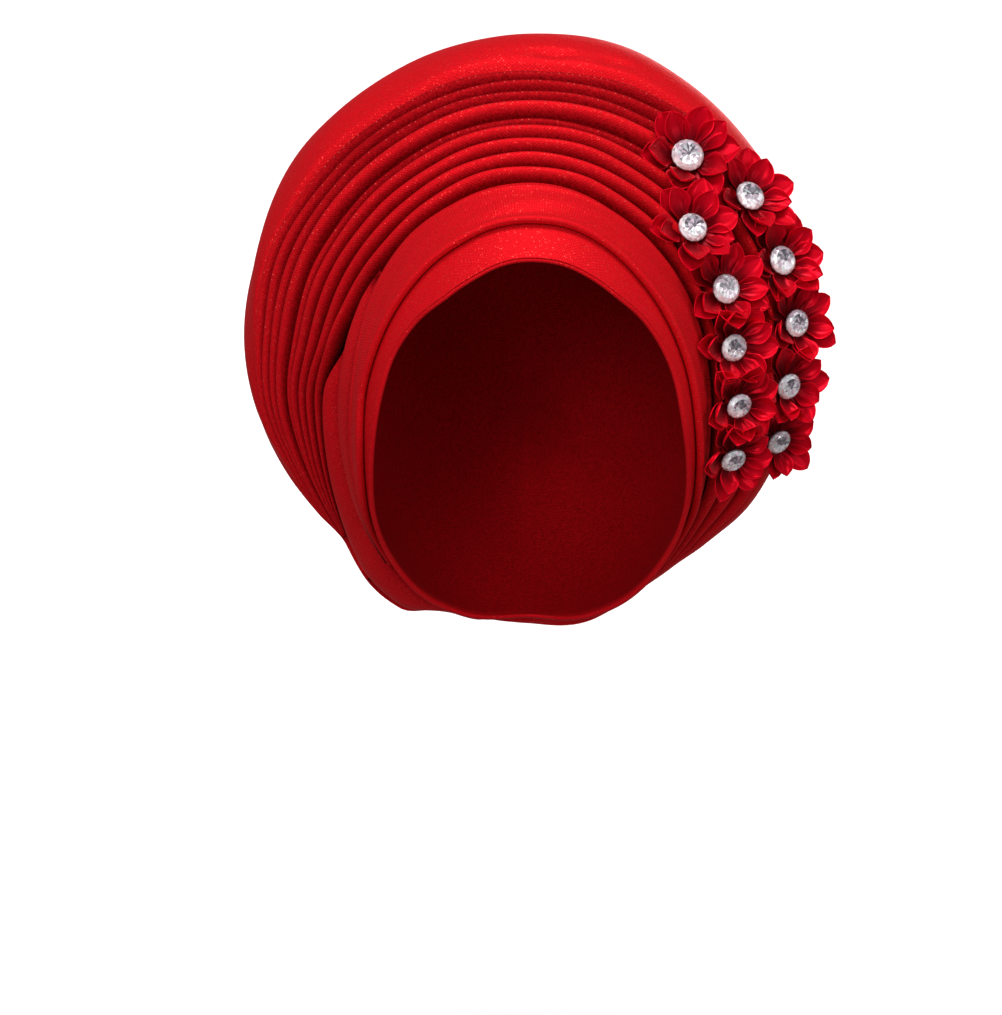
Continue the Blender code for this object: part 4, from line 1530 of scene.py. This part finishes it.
@dataclass(frozen=True)
class CrownDrape(Layer):
    """The plain cloth that rolls over the rim and closes the back down to the nape."""

    seam: float = 0.0008
    back_depth: float = 0.116
    back_fullness: float = 2.2
    fold_height: float = 0.0040
    rim_points: int = 20
    back_points: int = 56
    hem_points: int = 6
    hem_depth: float = 0.0035
    hem_gap: float = 0.0029
    hem_bulge: float = 0.0012
    hem_turn_in: tuple[float, float] = (-0.0025, 0.0006)
    nape_bearing: float = 262.0
    nape_arc: tuple[float, float] = (62.0, 42.0)
    join_bearing: float = 300.0
    wobble: float = 0.0007
    rim_ridge: float = 0.0009
    rim_ridge_run: tuple[float, float] = (0.17, 0.09)
    rim_ridge_starts: tuple[float, float] = (10.0, 40.0)
    rim_ridge_ends: tuple[float, float] = (185.0, 140.0)
    outside_tone: float = 0.9
    # The underside is painted darker than the outside: a painted shade.
    shaded_inside_tone: float = 0.35
    gather: tuple[float, float] = (-0.012, -0.215)
    gather_height: float = 0.0021
    gather_fade: tuple[float, float] = (0.235, 0.05)
    sag: float = 0.35
    sag_spacing: float = 0.017
    sag_place: tuple[float, float] = (0.15, 0.05)
    fine_fold: float = 0.16
    crease_spread: float = 0.05
    thread_radius: float = 0.13

    def back_folds(self, bearing: Grid, share: Grid) -> Grid:
        """Return how far the soft back folds and creases lift the drape.

        Args:
            bearing: The bearings of the sections.
            share: How far back each point of a section lies, from 0 at the rim to 1.

        Returns:
            The lift at each point in metres.
        """
        lift = np.zeros((len(bearing), len(share)))
        for row in BACK_FOLDS:
            lift += row["height"] * hump(turn_away(bearing, row["bearing"]), 0.0, row["spread"])[:, None]
        fine = self.fine_fold * round_ripple(91, 6, 8, 28, bearing)[:, None]
        return (lift + fine) * self.fold_height * np.sin(math.pi * np.minimum(1.0, share)) ** 2

    def profile(self, bearing: Grid) -> Grid:
        """Return the drape's outside, from its front edge over the rim to the back.

        Args:
            bearing: The bearings of the sections.

        Returns:
            Reach and depth of the points of each section, the hem's first.
        """
        front = HEAD.crown_point("groove", bearing)
        front[:, 1] += self.seam
        rim = HEAD.crown_point("rim", bearing)
        turns = np.linspace(0.0, math.pi / 2, self.rim_points)
        rolled = np.stack((
            front[:, :1] + (rim[:, :1] - front[:, :1]) * np.sin(turns),
            front[:, 1:] + (rim[:, 1:] - front[:, 1:]) * (1 - np.cos(turns)),
        ), axis=-1)
        shares = np.linspace(0.0, 1.0, self.back_points)[1:]
        turns = shares * math.pi / 2
        reach = rim[:, :1] * np.maximum(np.cos(turns), 0.0) ** (2 / self.back_fullness)
        depth = rim[:, 1:] + (self.back_depth - rim[:, 1:]) * np.sin(turns) ** (2 / self.back_fullness)
        back = np.stack((reach + self.back_folds(bearing, shares), depth), axis=-1)
        back[:, -1, 0] = 0.0
        return np.concatenate((self.hem(bearing, front), rolled, back), axis=1)

    def hem(self, bearing: Grid, front: Grid) -> Grid:
        """Return the hem that turns in from the drape's front edge, as far as the cap at the nape.

        Args:
            bearing: The bearings of the sections.
            front: Reach and depth of the front edge.

        Returns:
            Reach and depth of the hem's points in each section.
        """
        nape = smooth_step(*self.nape_arc, np.abs(turn_away(bearing, self.nape_bearing)))[:, None]
        seat = front.copy()
        seat[:, 1] += self.hem_depth
        seat[:, 0] = HEAD.reach(bearing, seat[:, 1]) + self.hem_gap
        short = front + np.array(self.hem_turn_in)
        inner = short * (1 - nape) + seat * nape
        shares = np.linspace(0.0, 1.0, self.hem_points, endpoint=False)
        bulge = np.sin(math.pi * shares) * self.hem_bulge
        line = inner[:, None] + (front - inner)[:, None] * shares[None, :, None]
        line[..., 1] -= bulge * nape
        return line

    def dents(self, bearing: Grid, count: int) -> Grid:
        """Return the small creases and the soft ridge of the rim roll.

        Args:
            bearing: The bearings of the sections, below 0 on the last stretch before a full turn.
            count: The number of points in a section.

        Returns:
            The height at each point in metres.
        """
        run = np.linspace(0.0, 1.0, self.rim_points)[None, :]
        front = bearing[:, None]
        height = np.zeros((len(bearing), count))
        start, end = self.hem_points, self.hem_points + self.rim_points
        wobble = self.wobble * round_ripple(51, 5, 3, 13, front + 30 * run) * smooth_step(0.0, 0.2, run)
        ridge = self.rim_ridge * hump(run, *self.rim_ridge_run) * smooth_step(*self.rim_ridge_starts, front)
        height[:, start:end] = wobble + ridge * smooth_step(*self.rim_ridge_ends, front)
        for row in RIM_CREASES:
            middle = row["run"] - row["drift"] * (front - row["bearing"])
            crease = hump(front, row["bearing"], row["spread"]) * hump(run, middle, self.crease_spread)
            height[:, start:end] -= row["depth"] * crease
        height[:, end:] = wobble[:, -1:] * np.linspace(1.0, 0.0, count - end)[None, :] ** 2
        return height

    def nape_folds(self, points: Grid, run: Grid) -> Grid:
        """Return the soft folds that run down the back and gather at the nape, in metres.

        Args:
            points: The drape's outside.
            run: How far back each point lies, from 0 at the rim to 1 at the middle of the back.

        Returns:
            The height of the folds at each point.
        """
        side = points[..., 0] - self.gather[0]
        up = points[..., 2] - self.gather[1]
        turn = np.degrees(np.arctan2(side, np.maximum(up, 1e-4)))
        away = np.hypot(side, up)
        waves = np.sin(np.radians(turn * 9 + 20 * np.sin(np.radians(turn * 3)))) ** 3
        waves = waves + 0.6 * round_ripple(77, 5, 7, 19, turn)
        near = smooth_step(0.0, 0.035, away) * smooth_step(*self.gather_fade, away)
        drift = 0.9 * np.sin(np.radians(turn * 4))
        sag = self.sag * np.sin(away / self.sag_spacing + drift) * hump(away, *self.sag_place)
        return self.gather_height * (waves * near + sag) * smooth_step(0.05, 0.45, run)

    def outside(self, bearing: Grid) -> Grid:
        """Return the drape's outside with all its folds and creases.

        Args:
            bearing: The bearings of the sections.

        Returns:
            Reach and depth of the points of each section.
        """
        outer = self.profile(bearing)
        wrapped = np.where(bearing > self.join_bearing, bearing - FULL_TURN, bearing)
        back = np.linspace(0.0, 1.0, self.back_points)[1:]
        run = np.concatenate((np.zeros(self.hem_points + self.rim_points), back))
        folds = self.nape_folds(HEAD.place(bearing[:, None], outer), run[None, :])
        folds[:, -1] = folds[:, -1].mean()
        outer = outer + side_of(outer) * (self.dents(wrapped, outer.shape[1]) + folds)[..., None]
        outer[:, -1, 0] = 0.0
        return outer

    def build(self, material: Material) -> Piece:
        """Build the drape.

        Args:
            material: The cloth's finish.

        Returns:
            The drape's mesh object.
        """
        bearing = bearings_along(0.0, FULL_TURN, self.step)
        outer = self.outside(bearing)
        inner = outer - side_of(outer) * self.wall
        edge = self.hem_points + self.rim_points
        inner[:, self.hem_points:edge] = outer[:, self.hem_points:edge] + self.roll_inward()
        inner[:, :self.hem_points] = outer[:, :self.hem_points] + np.array((0.0, self.wall))
        inner[..., 0] = np.maximum(inner[..., 0], 0.0)
        inner[:, -1, 0] = 0.0
        section = np.concatenate((outer[:, ::-1], inner), axis=1)
        points = HEAD.place(bearing[:, None], section)
        outside = np.arange(points.shape[1]) < outer.shape[1]
        # Painted shade: the drape's underside is painted darker than its outside.
        tones = np.where(outside, self.outside_tone, self.shaded_inside_tone)
        ridge = np.tile(tones, (len(points), 1))
        lay = cloth_lay(np.radians(bearing)[:, None] * self.thread_radius, points)
        piece = ClothGrid(points, ridge, lay).build("crown_drape_cloth", material)
        close_ends(piece)
        return self.finish(piece, (0.37, 0.37), "draped", ["face_cap"], 0.106)

    def roll_inward(self) -> Grid:
        """Return the way from the rim roll's outside to its inside, point by point."""
        turns = np.linspace(0.0, math.pi / 2, self.rim_points)
        return (np.stack((-np.sin(turns), np.cos(turns)), axis=-1) * self.wall)[None, :, :]


@dataclass(frozen=True)
class GlitterRows:
    """Small raised dots of glitter along the ridges of the pleats, painted bright: partly the cloth's own
    glitter and partly painted glints, thickest at the top.
    """

    fan: PleatedFan
    spacing: float = 0.0031
    radius: float = 0.00038
    # The bearing where the dots, partly painted glints, lie thickest, and how far round they thin out.
    brightest: float = 92.0
    reach: float = 46.0
    ridge_share: float = 0.47
    margin: float = 0.004

    def build(self, material: Material) -> Piece:
        """Build the dots as one piece that lies on the fan.

        Args:
            material: The dots' finish.

        Returns:
            The dots' mesh object.
        """
        points, _, _, bearing = self.fan.surface()
        chance = np.random.default_rng(7)
        solid = bmesh.new()
        for number, row in enumerate(PLEATS):
            column = number * self.fan.points_each + int(self.fan.points_each * self.ridge_share)
            line = points[:, column]
            run = arc_lengths(line[:, None], 0)[:, 0]
            stops = np.arange(self.margin, run[-1] - self.margin, self.spacing)
            angle = np.interp(stops, run, bearing)
            for stop, turn in zip(stops, angle):
                if chance.random() > row["glitter"] * float(hump(turn, self.brightest, self.reach)):
                    continue
                jitter = chance.normal(0.0, self.spacing * 0.12)
                spot = np.array([np.interp(stop + jitter, run, line[:, k]) for k in range(3)])
                self.add_dot(solid, Vector(spot), chance.uniform(0.6, 1.15))
        mesh = bpy.data.meshes.new("glitter_rows")
        solid.to_mesh(mesh)
        solid.free()
        piece = add_piece("glitter_rows", mesh, material)
        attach(piece, "root")
        report(piece)
        return piece

    def add_dot(self, solid: Solid, spot: Vector, size: float) -> None:
        """Add one dot, a small many-sided bead sunk to its middle."""
        place = Matrix.Translation(spot)
        bmesh.ops.create_icosphere(solid, subdivisions=1, radius=self.radius * size, matrix=place)


@dataclass(frozen=True)
class PetalRing:
    """One ring of a flower's ribbon petals: sizes in metres, slopes and cups in degrees."""

    count: int
    length: float
    width: float
    first_slope: float
    last_slope: float
    base_cup: float
    tip_cup: float
    seat: float
    root: float = 0.0026
    root_width: float = 0.34
    along: int = 14
    across: int = 11
    length_change: tuple[float, float] = (0.92, 1.06)
    width_change: tuple[float, float] = (0.92, 1.08)
    shoulder: float = 0.60
    shoulder_change: float = 0.05
    tip_fullness: float = 2.3
    tip_roundness: float = 0.75
    root_lean: float = 0.4
    tip_lean: float = 0.6
    slope_change: float = 4.0
    rising_part: tuple[float, float] = (0.15, 0.85)
    cupping_part: tuple[float, float] = (0.10, 0.45)
    rib: float = 0.10
    rib_spread: float = 0.22
    most_twist: float = 0.16
    # Painted shade and highlight: the petal is painted dark at its root by the stone, lighter toward its
    # tip and lighter still along its curled edges.
    root_shade: float = 0.10
    tip_highlight: float = 0.62
    edge_highlight: float = 0.40

    def petal(self, chance: np.random.Generator, lean: float, size: float) -> tuple[Grid, Grid, Grid]:
        """Make one petal: a pointed leaf of ribbon, cupped at its root, that points along +X.

        Args:
            chance: Where the petal's own small differences come from.
            lean: How much further up the petal stands, in degrees.
            size: How much larger than usual its flower is.

        Returns:
            The petal's points, its ridge values, which paint its shade and highlights, and the lay of its
            ribbon.
        """
        run = np.linspace(0.0, 1.0, self.along)[:, None]
        side = np.linspace(-1.0, 1.0, self.across)[None, :]
        length = self.length * size * chance.uniform(*self.length_change)
        shoulder = self.shoulder + chance.uniform(-self.shoulder_change, self.shoulder_change)
        tip = np.clip((run - shoulder) / (1 - shoulder), 0.0, 1.0)
        widening = eased(self.root_width, smooth_step(0.08, shoulder, run))
        outline = widening * (1 - tip ** self.tip_fullness) ** self.tip_roundness
        half = self.width / 2 * size * outline * chance.uniform(*self.width_change)
        rising = self.last_slope + self.tip_lean * lean - self.first_slope
        rising = rising * smooth_step(*self.rising_part, run)
        change = chance.uniform(-self.slope_change, self.slope_change)
        slope = np.radians(self.first_slope + self.root_lean * lean + rising + change)
        step = length / (self.along - 1)
        out = self.root + step * (np.cumsum(np.cos(slope), axis=0) - np.cos(slope))
        rise = self.seat + step * (np.cumsum(np.sin(slope), axis=0) - np.sin(slope))
        bend = np.radians(self.base_cup + (self.tip_cup - self.base_cup) * smooth_step(0.0, 0.75, run))
        sweep = half * np.sin(bend * side) / np.sin(bend)
        cup = half * (1 - np.cos(bend * side)) / np.sin(bend)
        rib = self.rib * half * hump(side, 0.0, self.rib_spread)
        cup = cup * smooth_step(*self.cupping_part, run) + rib
        twist = chance.uniform(-self.most_twist, self.most_twist) * run
        points = np.stack((
            out - np.sin(slope) * cup,
            sweep + twist * cup,
            rise + np.cos(slope) * cup + twist * sweep,
        ), axis=-1)
        # Painted highlight along the curled edges and toward the tip, painted shade at the root.
        edge = self.edge_highlight * np.abs(side) ** 3
        ridge = np.clip(self.root_shade + self.tip_highlight * smooth_step(0.2, 0.85, run) + edge, 0.0, 1.0)
        lay = np.stack((run * length + 0 * side, side * self.width / 2 + 0 * run), axis=-1)
        return points, ridge, lay


# The rings of a flower, from the lower one up.
PETAL_RINGS = (
    PetalRing(6, 0.0208, 0.0126, 7.0, 28.0, 62.0, 56.0, 0.0002),
    PetalRing(5, 0.0190, 0.0118, 8.0, 44.0, 60.0, 68.0, 0.0008),
)


@dataclass(frozen=True)
class FlowerBed:
    """The eleven satin flowers and the stones at their centres."""

    radius: float = 0.0225
    height: float = 0.0066
    facing_share: float = 0.12
    overlap: float = 0.0065
    steepest: float = 24.0
    ribbon: float = 0.00028
    ribbon_width: float = 0.0105
    stagger: float = 0.0005
    stone_radius: float = 0.0066
    stone_sides: int = 16
    # How much brighter the facets on the stone's lower side are painted, and the upper ones darker: a
    # painted reflection of the pale floor.
    low_painted_reflection: float = 0.34
    seat_share: float = 0.40
    seat_gap: float = 0.0003

    def frames(self, fan: PleatedFan) -> list[Matrix]:
        """Return each flower's placement, read from the stone that sits at its centre.

        Args:
            fan: The fan that the flowers lie on.

        Returns:
            A matrix for each flower, its Z axis the way the flower faces.
        """
        found = []
        for number, row in enumerate(FLOWERS, 1):
            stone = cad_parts[f"stone_{number:02d}"].data
            centre = sum((vertex.co for vertex in stone.vertices), Vector()) / len(stone.vertices)
            facing = self.facing(fan, row["bearing"], row["place"])
            lowest = min((vertex.co - centre).dot(facing) for vertex in stone.vertices)
            depth = lowest - self.height * self.seat_share - self.seat_gap
            facing = facing.lerp(Vector((0.0, -1.0, 0.0)), row["tip"]).normalized()
            facing.rotate(Matrix.Rotation(math.radians(row["nod"]), 3, "X"))
            foot = centre + facing * depth
            across = Vector((0.0, 0.0, 1.0)).cross(facing).normalized()
            upward = facing.cross(across)
            axes = Matrix((across, upward, facing)).transposed().to_4x4()
            turn = Matrix.Rotation(math.radians(row["turn"]), 4, "Z")
            found.append(Matrix.Translation(foot) @ axes @ turn)
        return found

    def facing(self, fan: PleatedFan, bearing: float, place: float) -> Vector:
        """Return the direction that a flower faces where it lies flat on the fan.

        Args:
            fan: The fan that the flower lies on.
            bearing: The flower's bearing.
            place: The share of the fan's line at which it lies.

        Returns:
            A direction of length 1.
        """
        shares = np.linspace(0.0, 1.0, 101)[None, :]
        line = fan.line(np.array([bearing]), shares)
        square = side_of(line)[0, round(place * 100)]
        angle = math.radians(bearing)
        outward = Vector((square[0] * math.cos(angle), square[1], square[0] * math.sin(angle)))
        return outward.lerp(Vector((0.0, -1.0, 0.0)), self.facing_share).normalized()

    def bed_slope(self, fan: PleatedFan, number: int, place: Matrix, turn: float) -> float:
        """Return the slope at which a petal lies along the fan, as it leaves the flower's own plane.

        Args:
            fan: The fan that the flowers lie on.
            number: The flower's number.
            place: The flower's placement.
            turn: The way the petal points, in radians.

        Returns:
            The slope in degrees, halved where the petal would hang down.
        """
        row = FLOWERS[number - 1]
        square = place.to_3x3().inverted() @ self.facing(fan, row["bearing"], row["place"])
        aside = math.cos(turn) * square.x + math.sin(turn) * square.y
        slope = math.degrees(math.atan2(-aside, square.z))
        return slope if slope > 0 else 0.5 * slope

    def lean(self, place: Matrix, others: list[Matrix], turn: float, reach: float) -> float:
        """Return how much a petal must stand up to stay clear of its neighbours.

        Args:
            place: The flower's placement.
            others: Every flower's placement.
            turn: The way the petal points, in radians.
            reach: How far the petal reaches lying down.

        Returns:
            The extra slope in degrees.
        """
        way = Vector((math.cos(turn), math.sin(turn)))
        steep = 0.0
        for other in others:
            offset = (place.inverted() @ other.translation).to_2d()
            if not 1e-6 < offset.length < 4 * self.radius:
                continue
            aim = way.dot(offset.normalized())
            room = offset.length / 2 + self.overlap
            if aim * reach > room:
                steep = max(steep, math.degrees(math.acos(room / (aim * reach))))
        return min(steep, self.steepest)

    def build(self, fan: PleatedFan, satin: Material, foil: Material) -> None:
        """Build every flower and stone.

        Args:
            fan: The fan that the flowers lie on.
            satin: The ribbon's material.
            foil: The stones' material.
        """
        places = self.frames(fan)
        for number, place in enumerate(places, 1):
            self.build_flower(number, fan, places, satin)
            self.build_stone(number, place, foil)

    def build_flower(
        self, number: int, fan: PleatedFan, places: list[Matrix], satin: Material
    ) -> Piece:
        """Build one flower of two rings of ribbon petals.

        Args:
            number: The flower's number.
            fan: The fan that the flowers lie on.
            places: Every flower's placement.
            satin: The ribbon's material.

        Returns:
            The flower's mesh object.
        """
        chance = np.random.default_rng(100 + number)
        place = places[number - 1]
        size = FLOWERS[number - 1]["size"]
        grids, ridges, lays = [], [], []
        for step, ring in enumerate(PETAL_RINGS):
            for i in range(ring.count):
                turn = 2 * math.pi * (i + 0.5 * step + chance.uniform(-0.10, 0.10)) / ring.count
                crowded = self.lean(place, places, turn, ring.length * size + ring.root)
                lean = max(crowded, self.bed_slope(fan, number, place, turn))
                points, ridge, lay = ring.petal(chance, lean, size)
                spin = np.array(Matrix.Rotation(turn, 3, "Z"))
                points[..., 2] += self.stagger * (i % 2)
                grids.append(points @ spin.T)
                ridges.append(ridge)
                lays.append(lay)
        name = f"flower_{number:02d}_petals"
        mesh = leaf_mesh(name, grids, ridges, lays, place)
        piece = add_piece(name, mesh, satin)
        thicken = piece.modifiers.new("ribbon", "SOLIDIFY")
        thicken.thickness = self.ribbon
        mesh.shade_smooth()
        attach(piece, "root")
        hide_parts(f"flower_{number:02d}")
        report(piece)
        return piece

    def build_stone(self, number: int, place: Matrix, foil: Material) -> Piece:
        """Build one round stone with a flat table and rings of facets.

        Args:
            number: The stone's number.
            place: Its flower's placement.
            foil: The stone's material.

        Returns:
            The stone's mesh object.
        """
        name = f"stone_{number:02d}_cut"
        row = FLOWERS[number - 1]
        chance = np.random.default_rng(300 + number)
        seat = self.height * self.seat_share + self.seat_gap
        down = (place.to_3x3().inverted() @ Vector((0.0, 0.0, -1.0))).to_2d().normalized()
        place = place @ Matrix.Rotation(math.radians(row["nod"]), 4, Vector((-down.y, down.x, 0.0)))
        pitch = 2 * math.pi / self.stone_sides
        solid = bmesh.new()
        loops = []
        for cut in STONE_LOOPS:
            reach = cut["radius"] * self.stone_radius * row["size"]
            rise = seat + cut["height"] * row["size"]
            turns = [pitch * (i + cut["turn"]) for i in range(self.stone_sides)]
            corners = [Vector((reach * math.cos(turn), reach * math.sin(turn), rise)) for turn in turns]
            loops.append([solid.verts.new(place @ corner) for corner in corners])
        shades = []
        for cut, upper, ring, following in zip(STONE_LOOPS, STONE_LOOPS[1:], loops, loops[1:]):
            for i in range(self.stone_sides):
                j = (i + 1) % self.stone_sides
                turned = upper["turn"] - cut["turn"]
                sides = facet_sides(ring[i], ring[j], following[i], following[j], turned)
                around = pitch * (i + 0.5 + cut["turn"])
                # Painted reflection: facets on the stone's lower side are painted brighter and those on its
                # upper side darker.
                painted_reflection = self.low_painted_reflection * (math.cos(around) * down.x + math.sin(around) * down.y)
                for side in sides:
                    solid.faces.new(side)
                    # Painted reflection: each facet is painted its own brightness between the loop's
                    # darkest and brightest.
                    shade = chance.uniform(cut["darkest"], cut["brightest"]) + painted_reflection
                    shades.append(min(max(shade, 0.0), 1.0))
        solid.faces.new(loops[0])
        solid.faces.new(loops[-1])
        # The seat and the table are painted too: the table a dark painted reflection.
        shades += [0.5, 0.05]
        bmesh.ops.recalc_face_normals(solid, faces=solid.faces)
        mesh = bpy.data.meshes.new(name)
        solid.to_mesh(mesh)
        solid.free()
        facet = mesh.attributes.new("facet", "FLOAT", "FACE")
        facet.data.foreach_set("value", np.array(shades, np.float32))
        tilt = mesh.attributes.new("tilt", "FLOAT_VECTOR", "FACE")
        tilt.data.foreach_set("vector", chance.uniform(-1.0, 1.0, 3 * len(shades)).astype(np.float32))
        piece = add_piece(name, mesh, foil)
        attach(piece, "root")
        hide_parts(f"stone_{number:02d}")
        report(piece)
        return piece


def facet_sides(
    first: Corner,
    second: Corner,
    third: Corner,
    fourth: Corner,
    turned: float,
) -> tuple[tuple[Corner, ...], ...]:
    """Return the facets between two neighbouring corners of a loop and the two above them.

    Args:
        first: The first corner of the lower loop.
        second: The second corner of the lower loop.
        third: The first corner of the upper loop.
        fourth: The second corner of the upper loop.
        turned: How far the upper loop is turned on from the lower one.

    Returns:
        The corners of one four-sided facet, or of two triangles where the loops are turned.
    """
    if turned == 0:
        return ((first, second, fourth, third),)
    if turned > 0:
        return ((first, second, third), (second, fourth, third))
    return ((first, fourth, third), (first, second, fourth))


def leaf_mesh(
    name: str, grids: list[Grid], ridges: list[Grid], lays: list[Grid], place: Matrix
) -> Mesh:
    """Join grids of points into one mesh of separate leaves.

    Args:
        name: The mesh's name.
        grids: Each leaf's points.
        ridges: Each leaf's ridge values.
        lays: The lay of each leaf's cloth.
        place: Where the leaves stand.

    Returns:
        The new mesh.
    """
    faces = []
    start = 0
    for grid in grids:
        along, across = grid.shape[:2]
        index = np.arange(along * across).reshape(along, across) + start
        corners = np.stack((index[:-1, :-1], index[1:, :-1], index[1:, 1:], index[:-1, 1:]), axis=-1)
        faces.append(corners.reshape(-1, 4))
        start += along * across
    points = np.concatenate([grid.reshape(-1, 3) for grid in grids])
    points = points @ np.array(place.to_3x3()).T + np.array(place.translation)
    mesh = bpy.data.meshes.new(name)
    mesh.from_pydata(points.tolist(), [], np.concatenate(faces).tolist())
    mark_cloth(mesh, np.concatenate(lays), np.concatenate(ridges))
    return mesh


@dataclass(frozen=True)
class Studio:
    """The plain pale studio: floor, soft light and the camera."""

    floor_height: float = -0.42
    floor_reach: float = 16.0
    wall_depth: float = 3.0
    bend: float = 1.6
    paper_softness: float = 1.0
    paper: float = 0.92
    air: float = 0.26
    camera_distance: float = 1.3
    camera_side: float = -0.01215
    camera_height: float = -0.1564
    metres_per_pixel: float = 0.00045
    frame_height: int = 1015
    sensor_height: float = 36.0

    def build(self) -> None:
        """Build the whole studio."""
        self.build_floor()
        self.build_lights()
        self.build_camera()

    def build_floor(self) -> None:
        """Build the pale floor that curves up into a backdrop."""
        turns = np.linspace(0.0, math.pi / 2, 25)
        line = [(-self.floor_reach, 0.0), (self.wall_depth - 0.4, 0.0)]
        for turn in turns:
            rise = self.bend * (1 - math.cos(turn))
            line.append((self.wall_depth + self.bend * math.sin(turn), rise))
        line.append((self.wall_depth + self.bend, self.floor_reach))
        sides = (-self.floor_reach, self.floor_reach)
        points = [(side, y, z + self.floor_height) for side in sides for y, z in line]
        count = len(line)
        faces = [(i, i + 1, count + i + 1, count + i) for i in range(count - 1)]
        mesh = bpy.data.meshes.new("studio_floor")
        mesh.from_pydata(points, [], faces)
        mesh.shade_smooth()
        finish = Finish("studio_paper")
        pale = (self.paper, self.paper, self.paper, 1.0)
        set_constants(finish.shader, {"Base Color": pale, "Roughness": 0.9})
        floor = add_piece("studio_floor", mesh, finish.material)
        floor.visible_diffuse = False
        floor.visible_glossy = False
        floor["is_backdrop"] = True

    def build_lights(self) -> None:
        """Build the soft lights and the pale surroundings."""
        world = bpy.data.worlds.new("studio_air")
        world.use_nodes = True
        plan = NodePlan(world.node_tree)
        soft = world.node_tree.nodes["Background"]
        seen = plan.add("ShaderNodeBackground")
        both = plan.add("ShaderNodeMixShader")
        for air, strength in ((soft, self.air), (seen, 1.0)):
            set_constants(air, {"Color": (1.0, 1.0, 1.0, 1.0), "Strength": strength})
        plan.join(plan.add("ShaderNodeLightPath").outputs["Is Camera Ray"], both.inputs[0])
        plan.join(soft.outputs[0], both.inputs[1])
        plan.join(seen.outputs[0], both.inputs[2])
        plan.join(both.outputs[0], world.node_tree.nodes["World Output"].inputs["Surface"])
        bpy.context.scene.world = world
        self.add_light("key", (0.10, -1.0, 1.6), (0.0, 0.0, -0.06), 0.7, 26.0)
        self.add_light("fill", (-0.7, -2.1, 0.4), (0.0, 0.0, -0.1), 1.2, 22.0)
        self.add_light("back", (0.7, 1.9, 0.7), (0.0, 0.05, -0.08), 1.0, 12.0)
        self.add_light("side", (1.5, -1.6, -0.1), (0.05, 0.0, -0.1), 0.8, 7.0)
        paper = self.add_light("paper", (0.0, -2.2, 2.4), (0.0, 0.0, 0.0), 0.0, 3.6)
        floor = bpy.data.collections.new("floor_only")
        floor.objects.link(bpy.data.objects["studio_floor"])
        paper.light_linking.receiver_collection = floor

    def add_light(
        self, name: str, spot: Triple, aim: Triple, size: float, power: float
    ) -> Piece:
        """Add one soft light that points at an aim: a square, or where it has no size, daylight.

        Args:
            name: The light's name.
            spot: Where it stands.
            aim: The point that it faces.
            size: The length of its sides.
            power: Its power in watts, or the strength of daylight.

        Returns:
            The light's object.
        """
        light = bpy.data.lights.new(name, "AREA" if size else "SUN")
        light.energy = power
        if size:
            light.size = size
        else:
            light.angle = self.paper_softness
        holder = bpy.data.objects.new(name, light)
        holder.location = spot
        holder.rotation_euler = (Vector(aim) - Vector(spot)).to_track_quat("-Z", "Y").to_euler()
        bpy.context.scene.collection.objects.link(holder)
        return holder

    def build_camera(self) -> None:
        """Build the camera that looks at the face side from its own height."""
        data = bpy.data.cameras.new("front_camera")
        data.sensor_fit = "VERTICAL"
        data.sensor_height = self.sensor_height
        view_height = self.metres_per_pixel * self.frame_height
        data.lens = self.sensor_height * self.camera_distance / view_height
        camera = bpy.data.objects.new("front_camera", data)
        camera.location = (self.camera_side, -self.camera_distance, self.camera_height)
        camera.rotation_euler = (math.pi / 2, 0.0, 0.0)
        bpy.context.scene.collection.objects.link(camera)
        bpy.context.scene.camera = camera


def as_lists(box: object) -> list[list[float]]:
    """Return a box's two corners as plain lists of numbers."""
    return [[float(value) for value in corner] for corner in box]


def main() -> dict[str, list[list[float]]]:
    """Build and dress the whole gele.

    Returns:
        The CAD model's box, under the name cad.
    """
    logging.basicConfig(level=logging.INFO, format="%(name)s %(message)s")
    boxes = {"cad": as_lists(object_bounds())}
    bpy.context.scene.view_settings.view_transform = "Standard"
    effects = Effects(thread_group(), flake_group(), tone_group())
    fan = PleatedFan("pleated_fan", "fan_cloth", 0.0008)
    layers = (
        (FaceCap("cap", "cap_cloth", 0.0022, 2.0), GlitterCloth("cap_cloth")),
        (FoldBand("fold_band", "band_cloth", 0.0022), GlitterCloth("band_cloth", weave=Weave.TWILL)),
        (RaisedStrip("side_strip", "strip_cloth", 0.0024), GlitterCloth("strip_cloth", weave=Weave.TWILL)),
        (TailStrip("tail_wrap", "tail_cloth", 0.0024), GlitterCloth("tail_cloth")),
        (fan, GlitterCloth("fan_cloth", flake_amount=0.22)),
        (CrownDrape("crown_drape", "drape_cloth", 0.0022, 1.5), GlitterCloth("drape_cloth")),
    )
    for layer, finish in layers:
        layer.build(finish.make(effects))
    # The dots are coloured brighter than the cloth's lit colour: partly the glitter's own shine, partly
    # painted glints.
    dots = GlitterCloth("glitter_dots", (0.85, 0.07, 0.07, 1.0), (0.95, 0.10, 0.09, 1.0), flake_amount=0.0)
    GlitterRows(fan).build(dots.make(effects))
    FlowerBed().build(fan, SatinRibbon().make(effects), FoiledStone().make())
    Studio().build()
    return boxes


if __name__ == "__main__":
    sizes = main()
    sizes["visual"] = as_lists(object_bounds())
